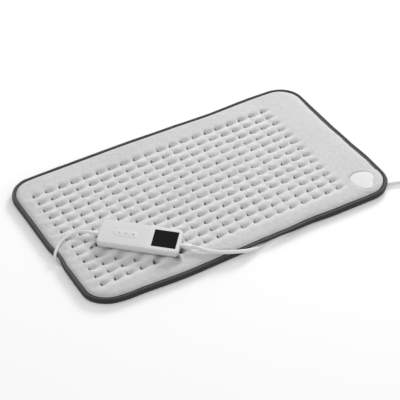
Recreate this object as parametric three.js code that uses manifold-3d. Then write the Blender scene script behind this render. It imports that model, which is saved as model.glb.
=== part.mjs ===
// A heating pad with its controller: a tufted plush pad bound all round, a hand controller with three
// keys and a display lying on it, the cord that joins the two, and a mains cord with its spare length
// coiled. Millimetres, +Z up. The origin is at the middle of the pad's rest face, on the surface it lies
// on: the centre of the plain rectangle that the pad's sides stray from.
import * as THREE from "three";
import { mergeVertices } from "three/addons/utils/BufferGeometryUtils.js";
import Module from "manifold-3d";

const wasm = await Module();
wasm.setup();

// Clearances and cuts
const clearance = 0.3; // between pieces that touch
const overrun = 2; // how far a cutting body stands past what it cuts

// Pad outline
const padLength = 500;
const padWidth = 285;
const padCorner = 38; // radius in plan
const cornerSteps = 6;
const longSideSteps = 8;
const shortSideSteps = 8;
// How far the sides of the limp pad stray outwards from a plain rounded rectangle: shares of half the
// side's length, counted from the left or the front, and shares of this length.
const sideStray = 10;
const frontShares = [
  [-1, -0.84],
  [-0.75, -0.13],
  [-0.4, 0.28],
  [0, 0.12],
  [0.25, 0.17],
  [0.43, -0.04],
  [0.62, 0.12],
  [0.86, 0.16],
  [1, 0.3],
];
const backShares = [
  [-1, -0.12],
  [-0.7, 0.03],
  [-0.2, 0.07],
  [0.1, -0.08],
  [0.4, -0.3],
  [0.7, -0.11],
  [1, -0.26],
];
const leftShares = [
  [-1, -0.18],
  [-0.6, -0.17],
  [-0.36, -0.15],
  [-0.19, -0.42],
  [0, -0.1],
  [0.5, -0.19],
  [1, -0.24],
];
const rightShares = [
  [-1, 0.97],
  [-0.5, 1.07],
  [-0.15, 0.8],
  [0.2, 0.63],
  [0.7, 0.59],
  [1, 0.48],
];

// Pad layers, heights above the surface
const bindingHeight = 9.5;
const bindingFlange = 6; // width of the tape seen from above
const bindingThickness = 1.1;
const bottomThickness = 6.6;
const rimThickness = 1.2; // the top cover's edge, sewn in under the tape
const rimInset = 1.5;
const pocketDepth = 3.4; // in the bottom cover, for the heating layer
const feltThickness = 0.6;
const wireDiameter = 1.6;
const collarHeight = 9.9; // where the plush rises out of the tape
const shoulderInset = 16;
const shoulderHeight = 12.6;

// Tufts
const tuftColumns = 20;
const tuftRows = 13;
const leftMargin = 30.7; // from the pad's ends and sides to the first tufts
const rightMargin = 74.1;
const frontMargin = 38.3;
const backMargin = 43.3;
const pitHeight = 10.7;
const ridgeHeight = 12.9; // halfway between two pits
const crownHeight = 14; // in the middle of four pits

// Heating layer
const pocketMargin = 4; // from its wall to the leads, and the radius of its corners
const leadSpacing = 5.2; // between the two lead runs at the front
const leadStart = -40;
const spliceLength = 15;
const spliceWidth = 10;
const flatPartHeight = 2.1;
const cutoutLength = 12;
const cutoutWidth = 4.6;
const sensorLength = 6;
const sensorWidth = 3;

// Badge near the front right corner
const badgeFromEnd = 31; // of its middle from the pad's right end
const badgeFromFront = 32;
const badgeRadius = 17.8;
const badgeTurn = -40; // degrees, the way its notch points
const badgeTop = 14;
const badgeShares = [0.8, 0.94, 1.09, 1.08, 1, 0.97, 1.02, 1.08]; // of its radius, from notch to tip

// Controller
const controllerFromEnd = 115.8; // of its middle from the pad's left end
const controllerFromFront = 80.9;
const controllerTurn = -41.5; // degrees
const seatHeight = 12.6; // of its underside, on the pressed plush
const pressReach = 11; // plush pressed flat round it
const pressFade = 12;
const caseLength = 116;
const caseWidth = 48;
const caseHeight = 14;
const caseCorner = 6.5;
const caseWall = 1.8;
const floorThickness = 1.6;
const partingHeight = 6;
const topFillet = 1.9;
const sideDraft = 0.4;
const bottomTuck = 3.2; // how far the underside is drawn in
const lipHeight = 1.2;
const lipThickness = 0.8;

// Display
const windowEndMargin = 4.75; // from the end of the case
const windowLength = 34.5;
const windowSideMargin = 7.1;
const windowThickness = 1.1;
const windowLedge = 1.6;
const windowCorner = 1;
const lcdThickness = 2.3;
const lightGuideWall = 1.4;

// Keys
const keypadEndMargin = 19.5; // from the other end
const keypadLength = 37;
const keypadWidth = 15;
const keyGap = 0.4;
const keyProud = 0.3;
const keyFlange = 0.8; // rim that keeps a key in
const keyFlangeThickness = 0.7;
const keyTravel = 0.6;
const keyStemRadius = 2.2;
const middleKeyLength = 12;

// Circuit board and what it carries
const boardEndRoom = 8; // from the ends of the case
const boardSideRoom = 8.5;
const boardThickness = 1.2;
const boardPostHeight = 1.8;
const boardPostRadius = 1.6;
const boardPostEndInset = 10; // from the board's ends
const boardPostSideInset = 4.5;
const switchSize = 6;
const switchHeight = 2.8;
const switchBore = 2;
const switchFloor = 1;
const plungerRadius = 1.7;
const plungerProud = 0.6;
const capacitorLength = 13;
const capacitorWidth = 5.5;
const capacitorHeight = 6.2;
const capacitorFromWindow = 3.7;
const partSideInset = 0.6; // from the board's sides
const triacLength = 10;
const triacWidth = 4.6;
const triacHeight = 5.6;
const fuseLength = 11;
const fuseRadius = 1.9;
const fuseEndInset = 5;
const chipSize = 7;
const chipFromKeys = 1.5; // of its middle from the keypad's end
const chipHeight = 1.2;
const leadDiameter = 1.3; // of the insulated wires inside the case
const leadSpread = 3.2; // between a cord's two wires
const leadLength = 5.5;

// Case screws and the bosses they turn into
const bossEndInset = 11.5; // from the ends of the case
const bossSideInset = 5.1;
const bossRadius = 2.4;
const screwRadius = 1;
const screwHeadRadius = 1.9;
const screwHeadHeight = 1.2;
const screwLength = 8.4;
const screwRecess = 0.4;

// Strain reliefs, both on the case's middle line
const reliefHeight = 6.2; // of their axis above the underside
const flangeLength = 2;
const flangeWidth = 8.6;
const neckWidth = 5.6;
const padReliefLength = 14.5; // outside the case
const padReliefWidth = 6;
const padReliefTip = 5;
const mainsReliefLength = 16;
const mainsReliefNeck = 4;
const mainsReliefWidth = 7.4;
const mainsReliefTip = 6.4;
const padReliefCornerShare = 1 / 3;
const mainsReliefCornerShare = 1 / 4;

// Cords
const padCordDiameter = 4;
const mainsCordDiameter = 5.4;
const coilX = 344;
const coilY = -128;
const coilStart = 240; // degrees round the coil where the lead comes in
const coilMiddleRadius = 32;
const coilPitch = 6.05;
const coilTurns = 35 / 12; // in each of two layers
const coilClimbTurns = 1 / 2; // of a turn, from the lower layer to the upper
const coilLoopSteps = 24;
const coilSides = 6;
const coilLift = 1.2; // the ties raise it off the surface
const straightDiameters = 1.5; // of cord, beside the coil's two ends
const tieWidth = 8;
const tieThickness = 0.8;
const tieAngles = [100, 290]; // degrees round the coil
const tieCornerShare = 1 / 6;

// Plug: a flat two-pin plug
const plugX = 385;
const plugY = -78; // where its strain relief begins
const plugReliefLength = 22;
const plugReliefWidth = 8;
const plugLength = 34;
const plugWidth = 35.3;
const plugThickness = 13.7;
const plugWaist = 26;
const plugWaistThickness = 12.4;
const plugCorner = 4;
const plugCornerShare = 1 / 3;
const pinLength = 19;
const pinDiameter = 4;
const pinSpacing = 18.6;
const pinSeat = 3;

// Cord entry under the pad
const bootX = -34; // its far end
const bootFromFront = 18;
const bootLength = 24;
const bootWidth = 10;
const bootHeight = 5.2;
const bootCornerShare = 1 / 4;

// Routes: the points that each cord's middle line passes, after the point where it leaves its relief.
const padCordRoute = [
  [-194.2, -8.4, 18.9],
  [-199.8, -4.6, 18.1],
  [-207.2, -2.6, 17.2],
  [-216.9, -3.1, 16.4],
  [-226.5, -5.6, 15.6],
  [-236, -10.6, 14.2],
  [-243, -16.8, 12.8],
  [-247.7, -22, 10.6],
  [-249.7, -26.6, 6.9],
  [-249.4, -31.8, 3.4],
  [-247.4, -38, 2.2],
  [-242.6, -46, 2.1],
  [-238.6, -60, 2.1],
  [-236, -76, 2.1],
  [-233.6, -92, 2.1],
  [-230.6, -106, 2.1],
  [-223.6, -117, 2.1],
  [-211, -122.8, 2.1],
  [-190, -124.5, 2.1],
  [-160, -124.5, 2.1],
  [-130, -124.5, 2.1],
  [-100, -124.5, 2.1],
  [-75, -124.5, 2.1],
];
const padCordUnder = 10; // point from which it lies under the pad
const mainsCordRoute = [
  [-73.6, -115.2, 18.9],
  [-65.4, -124.4, 17.6],
  [-56, -131.6, 16],
  [-45.2, -137.3, 14.6],
  [-34.5, -141.6, 13.4],
  [-25.5, -144.7, 12.6],
  [-16.5, -146.8, 10.9],
  [-7, -147.4, 8.4],
  [4, -147, 5.4],
  [15, -145.4, 3.5],
  [29, -143.4, 2.8],
  [44, -140.8, 2.8],
  [60, -137.6, 2.8],
  [76, -134.6, 2.8],
  [94, -131.8, 2.8],
  [118, -129.2, 2.8],
  [148, -127.2, 2.8],
  [184, -125.6, 2.8],
  [216, -124.6, 2.8],
  [240, -125.5, 2.8],
  [258, -129, 3],
  [274, -135.2, 3.3],
  [290, -143.8, 3.7],
];
const mainsCordUnder = 9;
const mainsCordClear = 21; // point by which it is out from under the pad
const tailRoute = [
  [384.8, -105, 9.3],
  [384.9, -95, 8.2],
  [385, -87, 7.1],
];

// Faces of round pieces
const fineSides = 24;
const coarseSides = 16;
const cordSides = 10;
const thinSides = 8;
const wireSides = 6;
const quarterSteps = 3;
const padCordSteps = 46;
const mainsCordSteps = 40;
const tailSteps = 6;
const leadSteps = 4;
const channelSteps = 34;

const degrees = Math.PI / 180;
const part = new THREE.Group();

const colours = {
  plush: [0xd3d3d3, 1],
  under: [0xcfcfcf, 1],
  tape: [0x3d3a3d, 0.9],
  felt: [0xe6e4dc, 1],
  white: [0xe9e9e7, 0.45],
  badge: [0xeeeeec, 0.7],
  glass: [0x1b1b1c, 0.15],
  board: [0x2f6b45, 0.6],
  black: [0x26262a, 0.5],
  metal: [0xb9bcc0, 0.3],
  amber: [0xc98a3a, 0.5],
};
const materials = Object.fromEntries(
  Object.entries(colours).map(([name, [color, roughness]]) => [
    name,
    new THREE.MeshStandardMaterial({ color, roughness, metalness: name === "metal" ? 1 : 0 }),
  ]),
);

// Adds one named mesh to a group.
function piece(name, geometry, material, group = part) {
  const mesh = new THREE.Mesh(geometry, materials[material]);
  mesh.name = name;
  group.add(mesh);
  return mesh;
}

// A closed geometry as a solid that can be joined and cut, and back.
function solid(geometry) {
  const bare = geometry.clone();
  bare.deleteAttribute("normal");
  bare.deleteAttribute("uv");
  const merged = mergeVertices(bare);
  const vertProperties = merged.attributes.position.array;
  return new wasm.Manifold(
    new wasm.Mesh({ numProp: 3, vertProperties, triVerts: new Uint32Array(merged.index.array) }),
  );
}
function geometryOf(body) {
  const mesh = body.getMesh();
  const geometry = new THREE.BufferGeometry();
  geometry.setAttribute("position", new THREE.BufferAttribute(mesh.vertProperties, mesh.numProp));
  geometry.setIndex(new THREE.BufferAttribute(mesh.triVerts, 1));
  return geometry;
}
const joined = (...geometries) => geometries.map(solid).reduce((a, b) => a.add(b));

// A closed skin through rings of equally many points. Each ring runs anticlockwise seen from the last one.
// A closed loft joins the last ring to the first, and an open one has flat ends.
function loft(rings, closed = false) {
  const count = rings[0].length;
  const positions = rings.flat().flatMap((p) => [p.x, p.y, p.z]);
  const faces = [];
  const spans = closed ? rings.length : rings.length - 1;
  for (let r = 0; r < spans; r++) {
    const next = (r + 1) % rings.length;
    for (let i = 0; i < count; i++) {
      const j = (i + 1) % count;
      const [a, b, c, d] = [r * count + i, r * count + j, next * count + j, next * count + i];
      faces.push(a, b, c, a, c, d);
    }
  }
  const last = (rings.length - 1) * count;
  for (let i = 1; !closed && i < count - 1; i++) {
    faces.push(0, i + 1, i, last, last + i, last + i + 1);
  }
  const geometry = new THREE.BufferGeometry();
  geometry.setAttribute("position", new THREE.Float32BufferAttribute(positions, 3));
  geometry.setIndex(faces);
  return geometry;
}

// The points of a rectangle with round corners, anticlockwise about the middle.
function roundedRectangle(length, width, corner, steps = quarterSteps) {
  const points = [];
  const corners = [
    [length / 2 - corner, width / 2 - corner, 0],
    [corner - length / 2, width / 2 - corner, 1],
    [corner - length / 2, corner - width / 2, 2],
    [length / 2 - corner, corner - width / 2, 3],
  ];
  for (const [x, y, quarter] of corners) {
    for (let i = 0; i <= steps; i++) {
      const angle = ((quarter + i / steps) * Math.PI) / 2;
      points.push(new THREE.Vector2(x + corner * Math.cos(angle), y + corner * Math.sin(angle)));
    }
  }
  return points;
}

// A block with round corners, built up of levels: [height, inset from the outline].
function block(length, width, corner, levels, x = 0, y = 0) {
  return loft(
    levels.map(([z, inset]) =>
      roundedRectangle(length - 2 * inset, width - 2 * inset, Math.max(corner - inset, corner / 4)).map(
        (p) => new THREE.Vector3(x + p.x, y + p.y, z),
      ),
    ),
  );
}

// A bar along +X, built up of stations: [x, width, height]. Its corners are a share of its smaller side.
function bar(stations, cornerShare, y = 0, z = 0) {
  return loft(
    stations.map(([x, width, height]) =>
      roundedRectangle(width, height, cornerShare * Math.min(width, height)).map(
        (p) => new THREE.Vector3(x, y + p.x, z + p.y),
      ),
    ),
  );
}

// Cylinders that stand on a height or lie along X.
function post(radius, bottom, top, x = 0, y = 0, sides = coarseSides) {
  return new THREE.CylinderGeometry(radius, radius, top - bottom, sides)
    .rotateX(Math.PI / 2)
    .translate(x, y, (bottom + top) / 2);
}
function roller(radius, start, end, y, z, sides = coarseSides) {
  return new THREE.CylinderGeometry(radius, radius, end - start, sides)
    .rotateZ(Math.PI / 2)
    .translate((start + end) / 2, y, z);
}
function slab(length, width, bottom, top, x = 0, y = 0) {
  return new THREE.BoxGeometry(length, width, top - bottom).translate(x, y, (bottom + top) / 2);
}

// A round section swept along a curve.
function tube(curve, diameter, sides, steps) {
  const section = new THREE.Shape();
  for (let i = 0; i < sides; i++) {
    const angle = (2 * Math.PI * i) / sides;
    const [x, y] = [(diameter / 2) * Math.cos(angle), (diameter / 2) * Math.sin(angle)];
    if (i === 0) section.moveTo(x, y);
    else section.lineTo(x, y);
  }
  section.closePath();
  return new THREE.ExtrudeGeometry(section, { steps, extrudePath: curve, curveSegments: 1 });
}

// A path whose steps fall on its own points, however far apart they are.
class PointPath extends THREE.Curve {
  constructor(points) {
    super();
    this.points = points;
  }
  getPoint(t, target = new THREE.Vector3()) {
    const last = this.points.length - 1;
    const place = Math.min(Math.max(t, 0), 1) * last;
    const index = Math.min(Math.floor(place), last - 1);
    return target.lerpVectors(this.points[index], this.points[index + 1], place - index);
  }
  getPointAt(u, target) {
    return this.getPoint(u, target);
  }
  getTangentAt(u, target = new THREE.Vector3()) {
    const half = 1 / (2 * (this.points.length - 1));
    return target.subVectors(this.getPoint(u + half), this.getPoint(u - half)).normalize();
  }
}

// Places on the pad
const fieldLeft = leftMargin - padLength / 2;
const fieldFront = frontMargin - padWidth / 2;
const fieldLength = padLength - leftMargin - rightMargin;
const fieldWidth = padWidth - frontMargin - backMargin;
const tuftPitchX = fieldLength / (tuftColumns - 1);
const tuftPitchY = fieldWidth / (tuftRows - 1);
const badgeX = padLength / 2 - badgeFromEnd;
const badgeY = badgeFromFront - padWidth / 2;
const controllerX = controllerFromEnd - padLength / 2;
const controllerY = controllerFromFront - padWidth / 2;
const bootY = bootFromFront - padWidth / 2;

// Pad outline: a rounded rectangle whose sides stray as their tables say, in soft steps.
function stray(table, share) {
  const next = table.findIndex(([place]) => place > share);
  if (next <= 0) return sideStray * (next ? table.at(-1) : table[0])[1];
  const [[fromPlace, from], [toPlace, to]] = [table[next - 1], table[next]];
  const rise = THREE.MathUtils.smoothstep(share, fromPlace, toPlace);
  return sideStray * (from + rise * (to - from));
}
function outlinePoint(x, y) {
  const acrossShare = (2 * y) / padWidth;
  const alongShare = (2 * x) / padLength;
  const [endSide, endSign] = alongShare > 0 ? [rightShares, 1] : [leftShares, -1];
  const [longSide, longSign] = acrossShare > 0 ? [backShares, 1] : [frontShares, -1];
  const dx = endSign * stray(endSide, acrossShare) * alongShare ** 4;
  const dy = longSign * stray(longSide, alongShare) * acrossShare ** 4;
  return [x + dx, y + dy];
}
function outline(inset, z) {
  const [halfLength, halfWidth] = [padLength / 2 - padCorner, padWidth / 2 - padCorner];
  const radius = padCorner - inset;
  const plain = [];
  const corners = [
    [halfLength, halfWidth, 0, longSideSteps],
    [-halfLength, halfWidth, 1, shortSideSteps],
    [-halfLength, -halfWidth, 2, longSideSteps],
    [halfLength, -halfWidth, 3, shortSideSteps],
  ];
  corners.forEach(([x, y, quarter, sideSteps], index) => {
    for (let i = 0; i <= cornerSteps; i++) {
      const angle = ((quarter + i / cornerSteps) * Math.PI) / 2;
      plain.push([x + radius * Math.cos(angle), y + radius * Math.sin(angle)]);
    }
    const end = plain[plain.length - 1];
    const [nextX, nextY] = corners[(index + 1) % corners.length];
    const angle = ((quarter + 1) * Math.PI) / 2;
    const target = [nextX + radius * Math.cos(angle), nextY + radius * Math.sin(angle)];
    for (let i = 1; i < sideSteps; i++) {
      const share = i / sideSteps;
      plain.push([end[0] + share * (target[0] - end[0]), end[1] + share * (target[1] - end[1])]);
    }
  });
  return plain.map(([x, y]) => {
    const [movedX, movedY] = outlinePoint(x, y);
    return new THREE.Vector3(movedX, movedY, z);
  });
}

// Routes
const turn = controllerTurn * degrees;
const placeOnPad = (x, y, z) =>
  new THREE.Vector3(
    controllerX + x * Math.cos(turn) - y * Math.sin(turn),
    controllerY + x * Math.sin(turn) + y * Math.cos(turn),
    seatHeight + z,
  );
const vectors = (route) => route.map((p) => new THREE.Vector3(...p));
const padMouth = placeOnPad(-caseLength / 2 - padReliefLength - clearance, 0, reliefHeight);
const mainsMouth = placeOnPad(caseLength / 2 + mainsReliefLength + clearance, 0, reliefHeight);
const bootMouth = new THREE.Vector3(bootX - bootLength - clearance, bootY, padCordRoute.at(-1)[2]);

const spline = (points) => new THREE.CatmullRomCurve3(points, false, "centripetal");
const padCordPoints = [padMouth, ...vectors(padCordRoute), bootMouth];
const padCordCurve = spline(padCordPoints);

// The coil: one tube that spirals in below, climbs in a half turn, and spirals out above.
const coilBottom = coilLift + mainsCordDiameter / 2;
const coilTotalTurns = 2 * coilTurns + coilClimbTurns;
const coilOuterRadius = coilMiddleRadius + (coilPitch * coilTurns) / 2;
const coilInnerRadius = coilOuterRadius - (coilPitch * coilTotalTurns) / 2;
function coilPoint(turns) {
  const climb = Math.min(Math.max((turns - coilTurns) / coilClimbTurns, 0), 1);
  const radius = coilOuterRadius - coilPitch * Math.min(turns, coilTotalTurns - turns);
  const rise = (1 - Math.cos(climb * Math.PI)) / 2;
  const angle = coilStart * degrees + 2 * Math.PI * turns;
  return new THREE.Vector3(
    coilX + radius * Math.cos(angle),
    coilY + radius * Math.sin(angle),
    coilBottom + coilPitch * rise,
  );
}
const coilStepCount = Math.round(coilTotalTurns * coilLoopSteps);
const coilPoints = [];
for (let i = 0; i <= coilStepCount; i++) {
  coilPoints.push(coilPoint((coilTotalTurns * i) / coilStepCount));
}
// Its ends run straight for one diameter, square to the stretches they meet.
const tangentAt = (index, other) => coilPoints[index].clone().sub(coilPoints[other]).normalize();
const coilEnds = [tangentAt(0, 1), tangentAt(coilStepCount, coilStepCount - 1)];
coilPoints.unshift(coilPoints[0].clone().addScaledVector(coilEnds[0], mainsCordDiameter));
coilPoints.push(coilPoints.at(-1).clone().addScaledVector(coilEnds[1], mainsCordDiameter));
const leadEnd = coilPoints[0].clone().addScaledVector(coilEnds[0], clearance);
const tailStart = coilPoints.at(-1).clone().addScaledVector(coilEnds[1], clearance);
const plugMouth = new THREE.Vector3(plugX, plugY - clearance, plugThickness / 2);
const straight = straightDiameters * mainsCordDiameter;
const leadApproach = leadEnd.clone().addScaledVector(coilEnds[0], straight);
const tailDeparture = tailStart.clone().addScaledVector(coilEnds[1], straight);
const mainsCordPoints = [mainsMouth, ...vectors(mainsCordRoute), leadApproach, leadEnd];
const mainsCordCurve = spline(mainsCordPoints);
const tailPoints = [tailStart, tailDeparture, ...vectors(tailRoute), plugMouth];
const tailCurve = spline(tailPoints);

function leastCoilGap() {
  const fine = [];
  const stepsPerTurn = 4 * coilLoopSteps;
  const count = Math.round(coilTotalTurns * stepsPerTurn);
  for (let i = 0; i <= count; i++) fine.push(coilPoint((coilTotalTurns * i) / count));
  let least = Infinity;
  for (let i = 0; i < fine.length; i++) {
    for (let j = i + Math.round(stepsPerTurn / 3); j < fine.length; j++) {
      least = Math.min(least, fine[i].distanceTo(fine[j]));
    }
  }
  return least - mainsCordDiameter;
}
console.log("coil: least gap to itself " + leastCoilGap().toFixed(2) + " mm");
const coilPath = new PointPath(coilPoints);
const lengths = [padCordCurve, mainsCordCurve, coilPath, tailCurve].map((curve) =>
  curve
    .getPoints(fineSides * coilStepCount)
    .reduce((sum, p, i, all) => sum + (i ? p.distanceTo(all[i - 1]) : 0), 0),
);
console.log("cord lengths " + lengths.map((length) => length.toFixed(0)).join(", ") + " mm");

// A slot for a cord: round above the cord and open to the surface below, along part of its curve.
function channel(curve, fromShare, toShare, diameter) {
  const half = diameter / 2 + clearance;
  const rings = [];
  for (let i = 0; i <= channelSteps; i++) {
    const t = fromShare + ((toShare - fromShare) * i) / channelSteps;
    const middle = curve.getPoint(t);
    const along = curve.getTangent(t);
    const side = new THREE.Vector3(-along.y, along.x, 0).normalize();
    const at = (across, z) => middle.clone().setZ(z).addScaledVector(side, across);
    const ring = [at(-half, -overrun), at(half, -overrun)];
    for (let k = 0; k <= thinSides; k++) {
      const angle = (Math.PI * k) / thinSides;
      ring.push(at(half * Math.cos(angle), middle.z + half * Math.sin(angle)));
    }
    rings.push(ring);
  }
  return loft(rings);
}
const padChannel = channel(padCordCurve, padCordUnder / (padCordPoints.length - 1), 1, padCordDiameter);
const mainsChannel = channel(
  mainsCordCurve,
  mainsCordUnder / (mainsCordPoints.length - 1),
  (mainsCordClear + 1) / (mainsCordPoints.length - 1),
  mainsCordDiameter,
);
const bootBottom = clearance;
const bootPocket = slab(
  bootLength + 2 * clearance,
  bootWidth + 2 * clearance,
  -overrun,
  bootBottom + bootHeight + clearance,
  bootX - bootLength / 2,
  bootY,
);

// Plush under the controller is pressed down to its underside.
function pressed(x, y, z) {
  const [dx, dy] = [x - controllerX, y - controllerY];
  const along = Math.abs(dx * Math.cos(turn) + dy * Math.sin(turn)) - caseLength / 2;
  const across = Math.abs(dy * Math.cos(turn) - dx * Math.sin(turn)) - caseWidth / 2;
  const away = Math.hypot(Math.max(along, 0), Math.max(across, 0));
  const fade = Math.min(Math.max((away - pressReach) / pressFade, 0), 1);
  const limit = seatHeight - clearance;
  return z > limit ? limit + (z - limit) * fade : z;
}

// The top cover: tufted field, plain margin, shoulder and an edge sewn in under the tape.
function topCover() {
  const points = [];
  const faces = [];
  const columns = 2 * (tuftColumns - 1);
  const rows = 2 * (tuftRows - 1);
  const indexOf = (i, j) => j * (columns + 1) + i;
  for (let j = 0; j <= rows; j++) {
    for (let i = 0; i <= columns; i++) {
      const [x, y] = [fieldLeft + (i * tuftPitchX) / 2, fieldFront + (j * tuftPitchY) / 2];
      const odd = (i % 2) + (j % 2);
      const height = [pitHeight, ridgeHeight, crownHeight][odd];
      points.push(new THREE.Vector3(x, y, pressed(x, y, height)));
    }
  }
  for (let j = 0; j < rows; j++) {
    for (let i = 0; i < columns; i++) {
      const [a, b] = [indexOf(i, j), indexOf(i + 1, j)];
      const [c, d] = [indexOf(i + 1, j + 1), indexOf(i, j + 1)];
      if ((i + j) % 2) faces.push(a, b, d, b, c, d);
      else faces.push(a, b, c, a, c, d);
    }
  }
  const border = [];
  for (let i = 0; i < columns; i++) border.push(indexOf(i, 0));
  for (let j = 0; j < rows; j++) border.push(indexOf(columns, j));
  for (let i = columns; i > 0; i--) border.push(indexOf(i, rows));
  for (let j = rows; j > 0; j--) border.push(indexOf(0, j));

  const underside = bottomThickness + clearance;
  const tapeEdge = bindingFlange + clearance;
  const profile = [
    [rimInset, underside],
    [rimInset, underside + rimThickness],
    [tapeEdge, underside + rimThickness],
    [tapeEdge + clearance, collarHeight],
    [shoulderInset, shoulderHeight],
  ];
  const loops = profile.map(([inset, z]) =>
    outline(inset, z).map((p) => {
      p.z = pressed(p.x, p.y, p.z);
      points.push(p);
      return points.length - 1;
    }),
  );
  for (let r = 0; r < loops.length - 1; r++) {
    loops[r].forEach((a, i) => {
      const next = (i + 1) % loops[r].length;
      faces.push(a, loops[r][next], loops[r + 1][next], a, loops[r + 1][next], loops[r + 1][i]);
    });
  }
  for (let i = 1; i < loops[0].length - 1; i++) faces.push(loops[0][0], loops[0][i + 1], loops[0][i]);
  stitch(loops.at(-1), border, points, faces);

  const geometry = new THREE.BufferGeometry();
  geometry.setAttribute(
    "position",
    new THREE.Float32BufferAttribute(
      points.flatMap((p) => [p.x, p.y, p.z]),
      3,
    ),
  );
  geometry.setIndex(faces);
  return geometry;
}

// Joins an outer loop of points to an inner one, always by the shorter next edge.
function stitch(outer, inner, points, faces) {
  const gap = (a, b) => Math.hypot(points[a].x - points[b].x, points[a].y - points[b].y);
  const start = inner.reduce((best, p, i) => (gap(outer[0], p) < gap(outer[0], inner[best]) ? i : best), 0);
  const turned = [...inner.slice(start), ...inner.slice(0, start)];
  let [i, j] = [0, 0];
  while (i < outer.length || j < turned.length) {
    const [a, b] = [outer[i % outer.length], turned[j % turned.length]];
    const nextA = outer[(i + 1) % outer.length];
    const nextB = turned[(j + 1) % turned.length];
    if (j === turned.length || (i < outer.length && gap(nextA, b) < gap(a, nextB))) {
      faces.push(a, nextA, b);
      i++;
    } else {
      faces.push(a, nextB, b);
      j++;
    }
  }
}

const topCoverSolid = solid(topCover());
piece("top_cover", geometryOf(topCoverSolid), "plush");

// The bottom cover: a thick soft sheet with a pocket for the heating layer and slots for the two cords.
const pocketBottom = bottomThickness - pocketDepth;
const pocketSide = leadSpacing + tuftPitchY / 2;
const pocketLeft = fieldLeft - (leadSpacing - clearance);
const pocketRight = fieldLeft + fieldLength;
const pocketFront = fieldFront - pocketSide / 2 - leadSpacing / 2;
const pocketBack = fieldFront + fieldWidth;
{
  const tapeEdge = bindingFlange + clearance;
  const tapeTop = bindingThickness + clearance;
  const body = loft([
    outline(tapeEdge, 0),
    outline(tapeEdge, tapeTop),
    outline(rimInset, tapeTop),
    outline(rimInset, bottomThickness),
  ]);
  const pocket = block(
    pocketRight - pocketLeft,
    pocketBack - pocketFront,
    pocketMargin,
    [
      [pocketBottom, 0],
      [bottomThickness + overrun, 0],
    ],
    (pocketLeft + pocketRight) / 2,
    (pocketFront + pocketBack) / 2,
  );
  const cut = solid(body)
    .subtract(solid(pocket))
    .subtract(solid(padChannel))
    .subtract(solid(mainsChannel))
    .subtract(solid(bootPocket));
  piece("bottom_cover", geometryOf(cut), "under");
}

// The tape sewn round the edge: a C that holds both covers, rolled at its outside.
function edgeBinding() {
  const t = bindingThickness;
  const roll = 2 * t;
  const section = [
    [bindingFlange, 0],
    [bindingFlange, t],
    [t, t],
    [t, bindingHeight - t],
    [bindingFlange, bindingHeight - t],
    [bindingFlange, bindingHeight - t / 4],
    [roll, bindingHeight],
    [t / 2, bindingHeight - t / 2],
    [0, bindingHeight - roll],
    [0, roll],
    [t / 2, t / 2],
    [roll, 0],
  ];
  const loops = section.map(([inset, z]) => outline(inset, z));
  const rings = loops[0].map((_, i) => loops.map((loop) => loop[i]));
  return solid(loft(rings, true)).subtract(solid(padChannel)).subtract(solid(mainsChannel));
}
piece("edge_binding", geometryOf(edgeBinding()), "tape");

// Heating layer: a felt sheet, the wire laid between the tuft rows, its splice, cut-out and sensor.
const feltBottom = pocketBottom + clearance;
const feltTop = feltBottom + feltThickness;
piece(
  "carrier_felt",
  block(
    pocketRight - pocketLeft,
    pocketBack - pocketFront,
    pocketMargin,
    [
      [feltBottom, clearance],
      [feltTop, clearance],
    ],
    (pocketLeft + pocketRight) / 2,
    (pocketFront + pocketBack) / 2,
  ),
  "felt",
);
const wireHeight = feltTop + clearance + wireDiameter / 2;
const runLeft = fieldLeft + tuftPitchX;
const runRight = fieldLeft + fieldLength - tuftPitchX;
const firstRun = fieldFront + tuftPitchY / 2;
const leadFront = pocketFront + pocketMargin;
function heatingWire() {
  const points = [];
  const bend = (x, y, radius, from, to) => {
    for (let k = 0; k <= 2 * quarterSteps; k++) {
      const angle = from + ((to - from) * k) / (2 * quarterSteps);
      points.push(new THREE.Vector3(x + radius * Math.cos(angle), y + radius * Math.sin(angle), wireHeight));
    }
  };
  const innerLead = leadFront + leadSpacing;
  const leadBend = (firstRun - innerLead) / 2;
  points.push(new THREE.Vector3(leadStart, innerLead, wireHeight));
  bend(runLeft, innerLead + leadBend, leadBend, -Math.PI / 2, (-3 * Math.PI) / 2);
  for (let run = 0; run < tuftRows - 1; run++) {
    const y = firstRun + run * tuftPitchY;
    const last = run === tuftRows - 2;
    const radius = tuftPitchY / 2;
    if (run % 2 === 0) bend(runRight, y + radius, radius, -Math.PI / 2, Math.PI / 2);
    else if (!last) bend(runLeft, y + radius, radius, (3 * Math.PI) / 2, Math.PI / 2);
  }
  const lastRun = firstRun + (tuftRows - 2) * tuftPitchY;
  const corner = leadSpacing / 2;
  const leadX = pocketLeft + pocketMargin;
  const quarter = (x, y, from) => {
    for (let k = 0; k <= quarterSteps; k++) {
      const angle = from + (k * Math.PI) / 2 / quarterSteps;
      points.push(new THREE.Vector3(x + corner * Math.cos(angle), y + corner * Math.sin(angle), wireHeight));
    }
  };
  quarter(leadX + corner, lastRun - corner, Math.PI / 2);
  quarter(leadX + corner, leadFront + corner, Math.PI);
  points.push(new THREE.Vector3(leadStart, leadFront, wireHeight));
  return tube(new PointPath(points), wireDiameter, wireSides, points.length - 1);
}
piece("heating_wire", heatingWire(), "amber");
const flatBottom = feltTop + clearance;
const flatTop = flatBottom + flatPartHeight;
piece(
  "wire_splice",
  slab(
    spliceLength,
    spliceWidth,
    flatBottom,
    flatTop,
    leadStart + clearance + spliceLength / 2,
    leadFront + leadSpacing / 2,
  ),
  "white",
);
const sideClear = wireDiameter / 2 + clearance;
const fieldX = fieldLeft + fieldLength / 2;
const cutoutY = firstRun + Math.floor(tuftRows / 2) * tuftPitchY + sideClear + cutoutWidth / 2;
piece("overheat_cutout", slab(cutoutLength, cutoutWidth, flatBottom, flatTop, fieldX, cutoutY), "metal");
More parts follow.
